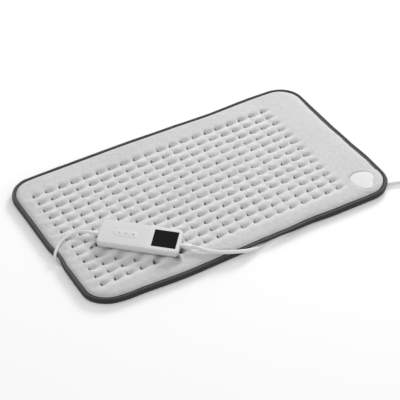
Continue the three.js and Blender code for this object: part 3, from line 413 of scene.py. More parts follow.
def cylinder(radius, start, end, sides=32):
    deselect()
    start, end = Vector(start), Vector(end)
    bpy.ops.mesh.primitive_cylinder_add(vertices=sides, radius=radius, depth=(end - start).length)
    piece = bpy.context.object
    piece.rotation_mode = "QUATERNION"
    piece.rotation_quaternion = (end - start).to_track_quat("Z", "Y")
    piece.location = (start + end) / 2
    bpy.context.view_layer.update()
    return settle(piece)


def slabWithCorners(low, high, corner, segments=8):
    # a flat block with round corners in plan
    piece = cube(low, high)
    roundEdges(piece, corner, segments, lambda a, b: abs(a.z - b.z) > tiny)
    return piece


def loftBar(stations, corner, segments=4):
    # a rounded block, extruded from station to station along X: (x, width, height)
    x, width, height = stations[0]
    deselect()
    bpy.ops.mesh.primitive_plane_add(size=1)
    piece = bpy.context.object
    piece.scale = (height, width, 1)
    piece.rotation_euler = (0, -math.pi / 2, 0)
    piece.location = (x, 0, 0)
    bpy.context.view_layer.update()
    settle(piece)
    pick(piece, faces=lambda centre, normal: True)
    bpy.ops.mesh.select_all(action="SELECT")
    bpy.ops.mesh.bevel(offset=corner * min(width, height), segments=segments, affect="VERTICES")
    for (x0, w0, h0), (x1, w1, h1) in zip(stations, stations[1:]):
        bpy.ops.mesh.extrude_region_move(TRANSFORM_OT_translate={"value": (x1 - x0, 0, 0)})
        bpy.ops.transform.resize(value=(1, w1 / w0, h1 / h0), center_override=(x1, 0, 0))
    leave()
    faceOutwards(piece)
    return piece


def eased(share):
    return share * share * (3 - 2 * share)


def smoothStep(value, low, high):
    return eased(np.clip((value - low) / (high - low), 0, 1))


# camera, at the photo's place
view = {
    "place": (-0.87869, -1.34820, 1.44972),
    "right": (0.85115475, -0.52402358, 0.03057569),
    "up": (0.33388268, 0.58542156, 0.73878546),
    "focalPixels": 1469.2,
    "picturePixels": 400,
    "sensor": 36,
    "clip": (0.05, 20),
}


def makeCamera(view):
    data = bpy.data.cameras.new("camera")
    camera = bpy.data.objects.new("camera", data)
    bpy.context.scene.collection.objects.link(camera)
    right, up = Vector(view["right"]).normalized(), Vector(view["up"]).normalized()
    back = right.cross(up)
    turned = Matrix((right, up, back)).transposed().to_4x4()
    camera.matrix_world = Matrix.Translation(view["place"]) @ turned
    data.sensor_width = view["sensor"]
    data.lens = view["sensor"] * view["focalPixels"] / view["picturePixels"]
    data.clip_start, data.clip_end = view["clip"]
    bpy.context.scene.camera = camera


makeCamera(view)

studio = {
    "floorSize": 6,
    "floorDrop": 0.0003,
    "floorGlow": 0.20,     # what the camera sees on top, so that the paper is white
    "fill": 0.72,
    "keyPower": 27,
    "keySize": 0.7,
    "keyPlace": (1.60, 1.15, 1.15),
    "aim": (0.0, 0.0, 0.0),
}


def seenDirectly(tree):
    # 1 for the camera, mirrors and glass, 0 for the light that falls on the object
    path = tree.nodes.new("ShaderNodeLightPath")
    total = path.outputs["Is Camera Ray"]
    for ray in ("Is Glossy Ray", "Is Transmission Ray"):
        either = tree.nodes.new("ShaderNodeMath")
        either.operation = "MAXIMUM"
        tree.links.new(total, either.inputs[0])
        tree.links.new(path.outputs[ray], either.inputs[1])
        total = either.outputs[0]
    return total


def makeStudio(studio):
    deselect()
    bpy.ops.mesh.primitive_plane_add(size=studio["floorSize"], location=(0, 0, -studio["floorDrop"]))
    floor = settle(bpy.context.object)
    floor.name = "floor"
    paper = Finish("paperWhite", Base_Color=(1, 1, 1, 1), Roughness=1.0, Specular_IOR_Level=0.0)
    glow = Wire(paper, seenDirectly(paper.tree)) * studio["floorGlow"]
    paper.wear(Emission_Color=glow, Emission_Strength=1.0)
    floor.data.materials.append(paper.material)
    world = bpy.data.worlds.new("studio")
    bpy.context.scene.world = world
    world.use_nodes = True
    tree = world.node_tree
    tree.nodes.clear()
    strength = tree.nodes.new("ShaderNodeMapRange")
    strength.inputs["To Min"].default_value = studio["fill"]
    strength.inputs["To Max"].default_value = 1.0
    tree.links.new(seenDirectly(tree), strength.inputs["Value"])
    background = tree.nodes.new("ShaderNodeBackground")
    tree.links.new(strength.outputs[0], background.inputs["Strength"])
    output = tree.nodes.new("ShaderNodeOutputWorld")
    tree.links.new(background.outputs[0], output.inputs["Surface"])
    lamp = bpy.data.lights.new("key", "AREA")
    lamp.energy = studio["keyPower"]
    lamp.size = studio["keySize"]
    key = bpy.data.objects.new("key", lamp)
    bpy.context.scene.collection.objects.link(key)
    key.location = studio["keyPlace"]
    key.rotation_mode = "QUATERNION"
    key.rotation_quaternion = (Vector(studio["keyPlace"]) - Vector(studio["aim"])).to_track_quat("Z", "Y")
    bpy.context.scene.view_settings.view_transform = "Standard"


makeStudio(studio)
print("camera and studio made")


# controller: its place on the pad, sizes in its own frame
controller = {
    "centre": (-0.1342, -0.0616, 0.0126),
    "turn": math.radians(-41.5),
    "length": 0.116,
    "width": 0.048,
    "height": 0.014,
    "parting": 0.006,
    "gap": 0.0003,
    "corner": 0.0065,
    "innerCorner": 0.001,  # at least, inside the walls
    "fillet": 0.0019,
    "wall": 0.0018,
    "tuck": 0.0032,
    "reliefHeight": 0.0062,
    "floor": 0.0016,
    "lip": 0.0012,         # how far it stands up past the parting line
    "lipThickness": 0.0008,
    "overrun": 0.001,      # of cutters past what they cut
    "linePitch": 0.0029,
    "lineEnd": 0.0115,
    "lineFade": 0.0004,
    "topFade": (0.0007, 0.0003),
}
controllerMatrix = Matrix.Translation(controller["centre"]) @ Matrix.Rotation(controller["turn"], 4, "Z")


def onPad(x, y, z):
    return controllerMatrix @ Vector((x, y, z))


# cords: the routes of the CAD source, in metres
cords = {
    "padDiameter": 0.004,
    "padReliefLength": 0.0145,
    "padLength": 0.339,
    "mainsDiameter": 0.0054,
    "mainsReliefLength": 0.016,
    "mainsLength": 1.72,
    "padBed": 0.0029,      # half width of the trough that its first stretch presses into the plush
    "mainsBed": 0.0036,
    "bedFade": (0.0004, 0.0070),
    "bedPoints": 7,
    "bedSteps": 120,
    "gap": 0.0003,
    "step": 0.002,
    "sides": 6,
    "straightDiameters": 1.5,
    "padRoute": [
        (-0.1942, -0.0084, 0.0189), (-0.1998, -0.0046, 0.0181), (-0.2072, -0.0026, 0.0172),
        (-0.2169, -0.0031, 0.0164), (-0.2265, -0.0056, 0.0156), (-0.2360, -0.0106, 0.0142),
        (-0.2430, -0.0168, 0.0128), (-0.2477, -0.0220, 0.0106), (-0.2497, -0.0266, 0.0069),
        (-0.2494, -0.0318, 0.0034), (-0.2474, -0.0380, 0.0022), (-0.2426, -0.0460, 0.0021),
        (-0.2386, -0.0600, 0.0021), (-0.2360, -0.0760, 0.0021), (-0.2336, -0.0920, 0.0021),
        (-0.2306, -0.1060, 0.0021), (-0.2236, -0.1170, 0.0021), (-0.2110, -0.1228, 0.0021),
        (-0.1900, -0.1245, 0.0021), (-0.1600, -0.1245, 0.0021), (-0.1300, -0.1245, 0.0021),
        (-0.1000, -0.1245, 0.0021), (-0.0750, -0.1245, 0.0021),
    ],
    "padEnd": (-0.0583, -0.1245, 0.0021),
    "mainsRoute": [
        (-0.0736, -0.1152, 0.0189), (-0.0654, -0.1244, 0.0176), (-0.0560, -0.1316, 0.0160),
        (-0.0452, -0.1373, 0.0146), (-0.0345, -0.1416, 0.0134), (-0.0255, -0.1447, 0.0126),
        (-0.0165, -0.1468, 0.0109), (-0.0070, -0.1474, 0.0084), (0.0040, -0.1470, 0.0054),
        (0.0150, -0.1454, 0.0035), (0.0290, -0.1434, 0.0028), (0.0440, -0.1408, 0.0028),
        (0.0600, -0.1376, 0.0028), (0.0760, -0.1346, 0.0028), (0.0940, -0.1318, 0.0028),
        (0.1180, -0.1292, 0.0028), (0.1480, -0.1272, 0.0028), (0.1840, -0.1256, 0.0028),
        (0.2160, -0.1246, 0.0028), (0.2400, -0.1255, 0.0028), (0.2580, -0.1290, 0.0030),
        (0.2740, -0.1352, 0.0033), (0.2900, -0.1438, 0.0037),
    ],
    "tailRoute": [(0.3848, -0.1050, 0.0093), (0.3849, -0.0950, 0.0082), (0.3850, -0.0870, 0.0071)],
}

coil = {
    "centre": (0.344, -0.128),
    "start": math.radians(240),
    "middleRadius": 0.032,
    "pitch": 0.00605,
    "turns": 35 / 12,
    "climb": 1 / 2,
    "lift": 0.0012,
    "loopSteps": 48,
}

plug = {
    "place": (0.385, -0.078, 0.00685),
    "length": 0.056,
    "reliefMouth": 0.0072,
    "reliefEdge": 0.0012,
    "reliefWidth": 0.008,
    "reliefGrow": 0.0009,  # from groove to groove
    "grooves": 4,
    "grooveStart": 0.0034,
    "groovePitch": 0.0040,
    "grooveDepth": 0.0014,
    "grooveEdges": (0.0002, 0.0014, 0.0016),
    "shape": [   # place along it, width, thickness
        (0.0185, 0.0125, 0.0100), (0.0205, 0.0210, 0.0118), (0.0220, 0.0250, 0.0123),
        (0.0240, 0.0260, 0.0124), (0.0310, 0.0260, 0.0124), (0.0360, 0.0278, 0.0127),
        (0.0440, 0.0322, 0.0133), (0.0520, 0.0353, 0.0137),
    ],
    "cornerShare": 0.36,
    "edge": 0.0007,
    "pinLength": 0.019,
    "pinDiameter": 0.004,
    "pinSpacing": 0.0186,
    "pinSeat": 0.003,
    "pinGap": 0.0002,
    "pinSeatGap": 0.0003,
    "pinTip": 0.0016,
    "overrun": 0.001,
}


def smoothRoute(points, step):
    # a centripetal spline through the points, sampled about every step
    points = [Vector(p) for p in points]
    ends = [2 * points[0] - points[1], *points, 2 * points[-1] - points[-2]]
    line = []
    for p0, p1, p2, p3 in zip(ends, ends[1:], ends[2:], ends[3:]):
        t0, t1, t2 = ((b - a).length ** 0.5 for a, b in ((p0, p1), (p1, p2), (p2, p3)))
        m1 = ((p1 - p0) / t0 - (p2 - p0) / (t0 + t1) + (p2 - p1) / t1) * t1
        m2 = ((p2 - p1) / t1 - (p3 - p1) / (t1 + t2) + (p3 - p2) / t2) * t1
        count = max(2, math.ceil((p2 - p1).length / step))
        for index in range(count):
            s = index / count
            bend = (3 * (p2 - p1) - 2 * m1 - m2) * s ** 2
            line.append(p1 + m1 * s + bend + (2 * (p1 - p2) + m1 + m2) * s ** 3)
    line.append(points[-1])
    return line


def coilRoute(coil, diameter):
    total = 2 * coil["turns"] + coil["climb"]
    outer = coil["middleRadius"] + coil["pitch"] * coil["turns"] / 2
    count = round(total * coil["loopSteps"])
    route = []
    for index in range(count + 1):
        turns = total * index / count
        climb = min(max((turns - coil["turns"]) / coil["climb"], 0), 1)
        radius = outer - coil["pitch"] * min(turns, total - turns)
        rise = (1 - math.cos(climb * math.pi)) / 2
        angle = coil["start"] + turnAll * turns
        height = coil["lift"] + diameter / 2 + coil["pitch"] * rise
        route.append(Vector((
            coil["centre"][0] + radius * math.cos(angle),
            coil["centre"][1] + radius * math.sin(angle),
            height,
        )))
    return route


def cordCurve(name, line, diameter, sides):
    data = bpy.data.curves.new(name, "CURVE")
    data.dimensions = "3D"
    spline = data.splines.new("POLY")
    spline.points.add(len(line) - 1)
    for point, place in zip(spline.points, line):
        point.co = (*place, 1)
    spline.use_smooth = True
    data.bevel_depth = diameter / 2
    data.bevel_resolution = sides
    data.use_fill_caps = True
    curve = bpy.data.objects.new(name, data)
    bpy.context.scene.collection.objects.link(curve)
    return curve


def makeCords(cords, coil, plug):
    jacket = mouldedFinish("cordJacket", 0.93, 0.5, speckle=500)
    half, height = controller["length"] / 2, controller["reliefHeight"]
    padMouth = onPad(-half - cords["padReliefLength"] - cords["gap"], 0, height)
    padLine = smoothRoute([padMouth, *cords["padRoute"], cords["padEnd"]], cords["step"])
    padCord = cordCurve("padCord", padLine, cords["padDiameter"], cords["sides"])
    finishPiece(padCord, "padCord", "root", jacket, ["pad_cord"])

    mainsMouth = onPad(half + cords["mainsReliefLength"] + cords["gap"], 0, height)
    turns = coilRoute(coil, cords["mainsDiameter"])
    straight = cords["straightDiameters"] * cords["mainsDiameter"] + cords["mainsDiameter"] + cords["gap"]
    lead = turns[0] + (turns[0] - turns[1]).normalized() * straight
    tail = turns[-1] + (turns[-1] - turns[-2]).normalized() * straight
    plugMouth = Vector(plug["place"]) - Vector((0, cords["gap"], 0))
    mainsLine = smoothRoute([mainsMouth, *cords["mainsRoute"], lead, turns[0]], cords["step"])
    mainsLine += turns[1:-1]
    mainsLine += smoothRoute([turns[-1], tail, *cords["tailRoute"], plugMouth], cords["step"])
    mainsCord = cordCurve("mainsCord", mainsLine, cords["mainsDiameter"], cords["sides"])
    finishPiece(mainsCord, "mainsCord", "root", jacket,
                ["mains_cord", "mains_cord_coil", "mains_cord_tail"])
    return padCord, mainsCord, padLine, mainsLine, jacket


padCord, mainsCord, padLine, mainsLine, jacket = makeCords(cords, coil, plug)
print("cords laid:", sum((b - a).length for a, b in zip(mainsLine, mainsLine[1:])), "m of mains cord")


# pad: rows of tufts on a rounded rectangle with limp sides
pad = {
    "length": 0.500,
    "width": 0.285,
    "corner": 0.038,
    # how far the sides stray outwards, at shares of half their length, and how soon that fades inwards
    "stray": 0.010,
    "strayPower": 4,
    "front": ((-1, -0.75, -0.4, 0, 0.25, 0.43, 0.62, 0.86, 1),
              (-0.84, -0.13, 0.28, 0.12, 0.17, -0.04, 0.12, 0.16, 0.3)),
    "back": ((-1, -0.7, -0.2, 0.1, 0.4, 0.7, 1), (-0.12, 0.03, 0.07, -0.08, -0.3, -0.11, -0.26)),
    "left": ((-1, -0.6, -0.36, -0.19, 0, 0.5, 1), (-0.18, -0.17, -0.15, -0.42, -0.1, -0.19, -0.24)),
    "right": ((-1, -0.5, -0.15, 0.2, 0.7, 1), (0.97, 1.07, 0.8, 0.63, 0.59, 0.48)),
    "margins": {"left": 0.0307, "right": 0.0741, "front": 0.0383, "back": 0.0433},
    "columns": 20,
    "rows": 13,
    "fieldFade": (0.8, 0.9),   # in tufts past the last ones
    "keep": 0.026,         # left to the rings outside the grid
    "rings": 6,
    "topCells": (4, 3),    # mesh cells from tuft to tuft
    "underCells": (6, 5),
    "edgeSteps": [900, 520, 900, 520],
    "arcSteps": 40,
    "sideSteps": 80,
    "edgeInset": 0.0058,
    "edgeHeight": 0.0086,
    "underside": 0.0069,
    "plainHeight": 0.0128,
    "shoulderReach": 0.0040,
    "backPuff": 0.0024,    # how much shorter the shoulder is at the back
    "backFrom": (0.100, 0.135),
    "tuftDip": 0.0005,
    "tuftReach": (0.0040, 0.0040),
    "puffCap": 0.0011,
    "marginPuff": 0.2,     # share of the cloth's puff that the margins keep
    # what differs from place to place: how much, scale, seed
    "swell": (0.0005, 14, 3.1),
    "rowChange": (0.35, 35, 11.3),
    "rimChange": (0.0008, 90, 4.4),
    "footChange": (0.5, 70, 2.2),
    "pile": [(0.6, 330, 1.7), (0.8, 150, 5.2)],
    # and from tuft to tuft: how much, steps along a row and from row to row
    "pullChange": (0.10, 12.9, 78.2),
    "slantChange": (0.25, 4.1, 9.7),
    "slant": 0.10,
    "rowWave": (0.35, 0.2),   # share of a valley's depth, and its place between two tufts
    "rowDepth": 0.0022,
    "crest": (0.0008, -0.0044, 0.0024),   # height, place before the row, width
    # each tuft pulls a dent that is steep in front and on its left, and gentle behind and on its right
    "dentDepth": 0.0032,
    "dentNear": (0.0022, 0.0018),
    "dentFar": (0.0074, 0.0044),
    "rowReach": (0.0028, 0.0050),
    "stitchDepth": 0.0022,
    "stitchNear": (0.0014, 0.0014),
    "stitchFar": (0.0030, 0.0026),
    # the ring of painted shade round each stitch: its radii, shifts, band, facing, fade and strength
    "stitchRing": (0.0027, 0.0031),
    "stitchShift": (0.0005, -0.0027),   # the thread draws each pit forwards
    "ringShift": (0.0011, 0.0012),
    "ringBand": (0.7, 0.65),          # where the dark ring lies, as a share of its radius, and its width
    "ringFacing": (-0.95, -0.3),
    "ringFade": (-0.7, 0.4),
    "ringPaintedShade": 0.95,
    # painted bands along each row, highlight above 0 and shade below: how much, how far behind it, how wide
    "paintedRowBands": [(0.7, -0.0056, 0.0044), (-0.14, 0.0048, 0.0046)],
    "pileHeight": 0.00022,
    "pileFade": 0.004,
    "pressedHeight": 0.0123,
    "pressFade": (-0.0010, 0.0010),
    "rimHeight": 0.0181,
    "rimFade": (0.0014, 0.0100),
    "rimFrom": (0.010, 0.018),   # in front of the controller's middle
    "besideCase": (0.3, 0.006),  # share of the pits' shade that is left, and how far the case clears it
    # contact shade round the controller
    "footShade": 0.85,
    "footLeast": 0.75,
    "footReach": 0.0062,
    "footBehind": (0.8, 0.005, 0.02),   # how much less behind the controller, and where
}
badge = {
    "centre": (0.219, -0.1105),
    "radius": 0.0178,
    "turn": math.radians(-40),
    "shares": [0.77, 0.93, 1.10, 1.09, 1.01, 0.98, 1.03, 1.08],   # from its notch to the far side
    "bottom": 0.0114,
    "top": 0.0134,
    "soft": 0.0006,        # of its edge, which is drawn in shares of this: inset and height
    "lowerShares": [(1, 0), (0, 1)],
    "upperShares": [(-1, -1.6), (-1.2, -1.1), (-0.7, -0.4), (1, 0)],
    "dome": [(0.0030, 0.0001), (0.0080, 0.0003), (0.0130, 0.0004)],
    "steps": 120,
    "sink": 0.0001,
    "pressFade": (-0.0010, 0.0012),
    "collar": (0.0004, 0.0040, 0.0030),   # plush that stands up round it: height, how far out, width
    "shade": 0.32,
    "shadeWay": (-0.1, 0.95),
    "shadeFade": (0.1, 0.9),
    "shadeBand": (0.001, 0.004),          # how far out, width
}


def strayAt(side, share):
    places, amounts = np.array(pad[side][0]), np.array(pad[side][1])
    share = np.clip(share, places[0], places[-1])
    index = np.clip(np.searchsorted(places, share, side="right") - 1, 0, len(places) - 2)
    rise = eased((share - places[index]) / (places[index + 1] - places[index]))
    return pad["stray"] * (amounts[index] + rise * (amounts[index + 1] - amounts[index]))


def strayed(points):
    # the sides of a limp pad stray from the rounded rectangle it was cut as
    x, y = points[:, 0], points[:, 1]
    along, across = 2 * x / pad["length"], 2 * y / pad["width"]
    power = pad["strayPower"]
    dx = np.where(along > 0, strayAt("right", across), -strayAt("left", across)) * along ** power
    dy = np.where(across > 0, strayAt("back", along), -strayAt("front", along)) * across ** power
    return np.stack([x + dx, y + dy], axis=1)


def padLoop(inset, counts):
    # the pad's outline, anticlockwise from the middle of the front left corner, with so many points a side
    halfX, halfY = pad["length"] / 2 - pad["corner"], pad["width"] / 2 - pad["corner"]
    radius = pad["corner"] - inset
    arc = np.linspace(0, math.pi / 4, pad["arcSteps"])
    centres = [(-halfX, -halfY), (halfX, -halfY), (halfX, halfY), (-halfX, halfY)]

    def corner(centre, angles):
        return np.column_stack([centre[0] + radius * np.cos(angles), centre[1] + radius * np.sin(angles)])

    loop = []
    for side, count in enumerate(counts):
        first = (side - 1) * math.pi / 2
        start = corner(centres[side], first - math.pi / 4 + arc)
        end = corner(centres[(side + 1) % 4], first + arc)
        straight = start[-1] + np.linspace(0, 1, pad["sideSteps"])[1:-1, None] * (end[0] - start[-1])
        line = strayed(np.concatenate([start, straight, end]))
        lengths = np.concatenate([[0], np.cumsum(np.linalg.norm(np.diff(line, axis=0), axis=1))])
        at = np.linspace(0, lengths[-1], count + 1)[:-1]
        loop.append(np.column_stack([np.interp(at, lengths, line[:, axis]) for axis in (0, 1)]))
    return np.concatenate(loop)


def flatTree(places):
    tree = KDTree(len(places))
    for index, place in enumerate(places):
        tree.insert((place[0], place[1], 0), index)
    tree.balance()
    return tree


def insetOf(points):
    # how far each point lies inside the pad's outline
    tree = flatTree(padLoop(0, pad["edgeSteps"]))
    return np.array([tree.find((x, y, 0))[2] for x, y in points])


def tuftPitch():
    margins = pad["margins"]
    pitchX = (pad["length"] - margins["left"] - margins["right"]) / (pad["columns"] - 1)
    pitchY = (pad["width"] - margins["front"] - margins["back"]) / (pad["rows"] - 1)
    return pitchX, pitchY


def fieldPlace(points):
    # places counted in tufts from the front left one
    pitchX, pitchY = tuftPitch()
    left, front = pad["margins"]["left"] - pad["length"] / 2, pad["margins"]["front"] - pad["width"] / 2
    return (points[:, 0] - left) / pitchX, (points[:, 1] - front) / pitchY


def fromTuft(points):
    # offsets from the nearest tuft, in metres
    pitchX, pitchY = tuftPitch()
    u, v = fieldPlace(points)
    column = np.clip(np.round(u), 0, pad["columns"] - 1)
    row = np.clip(np.round(v), 0, pad["rows"] - 1)
    return (u - column) * pitchX, (v - row) * pitchY


def inField(points):
    u, v = fieldPlace(points)
    beside, before = pad["fieldFade"]
    share = smoothStep(u, -beside, 0) * smoothStep(pad["columns"] - 1 - u, -beside, 0)
    return share * smoothStep(v, -before, 0) * smoothStep(pad["rows"] - 1 - v, -before, 0)


def noiseAt(points, most, scale, seed):
    return most * np.array([noise.noise((x * scale + seed, y * scale - seed, seed)) for x, y in points])


def tuftNoise(column, row, most, columnStep, rowStep):
    return most * np.sin(column * columnStep + row * rowStep)


def clothHeight(points, inset):
    # the stuffed cover before it swells and its stitches are pulled tight
    reach = pad["shoulderReach"] - pad["backPuff"] * smoothStep(points[:, 1], *pad["backFrom"])
    rise = 1 - np.exp(-np.clip(inset - pad["edgeInset"], 0, None) / reach)
    height = pad["edgeHeight"] + (pad["plainHeight"] - pad["edgeHeight"]) * rise
    height += noiseAt(points, *pad["swell"]) * rise
    dx, dy = fromTuft(points)
    reachX, reachY = pad["tuftReach"]
    return height - pad["tuftDip"] * np.exp(-(dx / reachX) ** 2 - (dy / reachY) ** 2)


def nearTufts(points):
    # the four tufts round each point: offsets in metres, column, row and whether there is a tuft
    pitchX, pitchY = tuftPitch()
    u, v = fieldPlace(points)
    for right in (0, 1):
        for behind in (0, 1):
            column, row = np.floor(u) + right, np.floor(v) + behind
            there = (column >= 0) & (column < pad["columns"]) & (row >= 0) & (row < pad["rows"])
            yield (u - column) * pitchX, (v - row) * pitchY, column, row, there


def lopsided(dx, dy, near, far):
    reachX = np.where(dx < 0, near[0], far[0])
    reachY = np.where(dy < 0, near[1], far[1])
    return np.exp(-(dx / reachX) ** 2 - (dy / reachY) ** 2)


def quilting(points):
    # a valley along each row and a pit at each stitch, both steep in front and gentle behind, with painted
    # shade round each pit and painted bands of highlight and shade along the rows
    points = points - np.array(pad["stitchShift"])
    most, middle = pad["rowWave"]
    wave = 1 - most + most * np.cos(turnAll * (fieldPlace(points)[0] - middle))
    uneven = 1 + noiseAt(points, *pad["rowChange"])
    high, before, wide = pad["crest"]
    ringPlace, ringWidth = pad["ringBand"]
    facingX, facingY = pad["ringFacing"]
    depth, shade, paintedRowShading = 0, 0, 0
    for dx, dy, column, row, there in nearTufts(points):
        pull = there * (1 + tuftNoise(column, row, *pad["pullChange"]))
        slanted = dx + (pad["slant"] + tuftNoise(column, row, *pad["slantChange"])) * dy
        depth = depth + pull * pad["dentDepth"] * lopsided(slanted, dy, pad["dentNear"], pad["dentFar"])
        depth = depth + pull * pad["stitchDepth"] * lopsided(slanted, dy, pad["stitchNear"], pad["stitchFar"])
        share = np.clip(1 - np.abs(dx) / tuftPitch()[0], 0, 1)
        valley = np.exp(-(dy / np.where(dy < 0, *pad["rowReach"])) ** 2)
        depth = depth + there * share * wave * uneven * pad["rowDepth"] * valley
        depth = depth - there * share * high * np.exp(-((dy - before) / wide) ** 2)
        # painted shade where the pile closes over the stitch, on its left and in front
        beside, behind = slanted - pad["ringShift"][0], dy - pad["ringShift"][1]
        around = np.hypot(beside / pad["stitchRing"][0], behind / pad["stitchRing"][1])
        facing = (facingX * beside + facingY * behind) / np.maximum(np.hypot(beside, behind), tiny)
        dark = np.exp(-((around - ringPlace) / ringWidth) ** 2) * smoothStep(facing, *pad["ringFade"])
        shade = np.maximum(shade, pad["ringPaintedShade"] * pull * dark)
        # painted highlight in front of each row and painted shade behind it
        for lighter, middle, spread in pad["paintedRowBands"]:
            paintedRowShading = paintedRowShading + there * share * lighter * np.exp(-((dy - middle) / spread) ** 2)
    return -depth, np.clip(shade, 0, 1) - paintedRowShading


def badgeRadius(angle):
    ring = np.array([*badge["shares"], *badge["shares"][-2:0:-1], badge["shares"][0]])
    place = (angle - badge["turn"]) % turnAll / turnAll * (len(ring) - 1)
    index = np.minimum(place.astype(int), len(ring) - 2)
    share = eased(place - index)
    return badge["radius"] * (ring[index] * (1 - share) + ring[index + 1] * share)


def fromBadge(points):
    # offsets from its middle, and how far outside its edge
    x, y = points[:, 0] - badge["centre"][0], points[:, 1] - badge["centre"][1]
    return x, y, np.hypot(x, y) - badgeRadius(np.arctan2(y, x))


def underCords(points, height):
    # plush gives way under the reliefs and the cords that leave them too
    for side, cord in ((-1, "pad"), (1, "mains")):
        start = onPad(side * controller["length"] / 2, 0, controller["reliefHeight"])
        stations = np.array([start, *cords[cord + "Route"][:cords["bedPoints"]]])
        radius = cords[cord + "Bed"]
        share = np.linspace(0, len(stations) - 1, cords["bedSteps"])
        line = np.column_stack([np.interp(share, range(len(stations)), stations[:, k]) for k in range(3)])
        far = np.hypot(points[:, None, 0] - line[:, 0], points[:, None, 1] - line[:, 1])
        nearest = far.argmin(axis=1)
        limit = line[nearest, 2] - radius - cords["gap"]
        free = smoothStep(far.min(axis=1) - radius, *cords["bedFade"])
        height = np.where(height > limit, limit + (height - limit) * free, height)
    return height


def awayFromCase(points):
    # how far outside the controller's outline, and how far behind its middle
    turn = controller["turn"]
    dx, dy = points[:, 0] - controller["centre"][0], points[:, 1] - controller["centre"][1]
    y = dy * math.cos(turn) - dx * math.sin(turn)
    along = np.abs(dx * math.cos(turn) + dy * math.sin(turn)) - controller["length"] / 2
    across = np.abs(y) - controller["width"] / 2
    inside = np.minimum(np.maximum(along, across), 0)
    return np.hypot(np.maximum(along, 0), np.maximum(across, 0)) + inside, y


def pressedBy(points, height):
    # plush gives way under the controller and the badge
    away, y = awayFromCase(points)
    limit = pad["pressedHeight"]
    free = smoothStep(away, *pad["pressFade"])
    height = np.where(height > limit, limit + (height - limit) * free, height)
    # and stands up along its front and round the corners there
    rim = free * (1 - smoothStep(away, *pad["rimFade"])) * smoothStep(-y, *pad["rimFrom"])
    height = height + rim * np.maximum(pad["rimHeight"] + noiseAt(points, *pad["rimChange"]) - height, 0)
    height = underCords(points, height)
    _, _, out = fromBadge(points)
    high, place, width = badge["collar"]
    height = height + high * np.exp(-((out - place) / width) ** 2)
    pressed = 1 - smoothStep(out, *badge["pressFade"])
    return height + np.minimum(badge["bottom"] - badge["sink"] - height, 0) * pressed


def coverMesh(inset, cells):
    # a grid on the tufts, with rings round it that turn into the outline; rows of faces point up
    pitchX, pitchY = tuftPitch()
    stepX, stepY = pitchX / cells[0], pitchY / cells[1]
    margins, keep = pad["margins"], pad["keep"]
    left, right = (round((margins[side] - keep) / stepX) for side in ("left", "right"))
    front, back = (round((margins[side] - keep) / stepY) for side in ("front", "back"))
    columns = left + (pad["columns"] - 1) * cells[0] + right
    rows = front + (pad["rows"] - 1) * cells[1] + back
    x = margins["left"] - pad["length"] / 2 + (np.arange(columns + 1) - left) * stepX
    y = margins["front"] - pad["width"] / 2 + (np.arange(rows + 1) - front) * stepY
    grid = [(a, b) for b in y for a in x]

    def at(i, j):
        return j * (columns + 1) + i

    squares = [(i, j) for j in range(rows) for i in range(columns)]
    faces = [(at(i, j), at(i + 1, j), at(i + 1, j + 1), at(i, j + 1)) for i, j in squares]
    border = [at(i, 0) for i in range(columns)] + [at(columns, j) for j in range(rows)]
    border += [at(i, rows) for i in range(columns, 0, -1)] + [at(0, j) for j in range(rows, 0, -1)]
    counts = [columns, rows, columns, rows]
    outer = padLoop(inset, counts)
    inner = np.array([grid[i] for i in border])
    loops = [border]
    for ring in range(1, pad["rings"] + 1):
        start = len(grid)
        grid += [tuple(p) for p in inner + (outer - inner) * ring / pad["rings"]]
        loops.append(list(range(start, start + len(border))))
    for one, two in zip(loops, loops[1:]):
        faces += joined(one, two)
    return np.array(grid), faces, loops[-1], counts


def joined(inner, outer):
    # a closed strip of faces between two loops of the same length
    count = len(inner)
    return [(inner[(i + 1) % count], inner[i], outer[i], outer[(i + 1) % count]) for i in range(count)]


stuffing = {
    "quality": 6,
    "mass": 0.25,
    "tension_stiffness": 12,
    "compression_stiffness": 12,
    "shear_stiffness": 6,
    "bending_stiffness": 0.4,
    "use_pressure": True,
    "uniform_pressure_force": 4,
    "shrink_min": -0.035,
}
stuffingTime = 20   # frames


def stuffed(cover, held):
    # a light cloth simulation: the filling pushes the cover out between its stitches
    only(cover)
    start = np.array([v.co for v in cover.data.vertices])
    group = cover.vertex_groups.new(name="held")
    group.add([int(i) for i in held], 1.0, "REPLACE")
    cloth = cover.modifiers.new("cloth", "CLOTH")
    settings = cloth.settings
    settings.vertex_group_mass = "held"
    for name, value in stuffing.items():
        setattr(settings, name, value)
    settings.effector_weights.gravity = 0
    cloth.point_cache.frame_start, cloth.point_cache.frame_end = 1, stuffingTime
    scene = bpy.context.scene
    for moment in range(stuffingTime):
        scene.frame_set(moment + 1)
    shown = cover.evaluated_get(bpy.context.evaluated_depsgraph_get())
    moved = np.array([v.co for v in shown.data.vertices]) - start
    scene.frame_set(1)
    cover.modifiers.remove(cloth)
    cover.vertex_groups.clear()
    far = np.linalg.norm(moved, axis=1)
    print("puffed by up to", round(far.max() * 1000, 2), "mm, kept to", pad["puffCap"] * 1000)
    kept = pad["marginPuff"] + (1 - pad["marginPuff"]) * inField(start[:, :2])
    share = kept * np.minimum(far, pad["puffCap"]) / np.maximum(far, tiny / 1000)
    moved *= share[:, None]
    cover.data.vertices.foreach_set("co", (start + moved).astype(np.float32).ravel())
    cover.data.update()


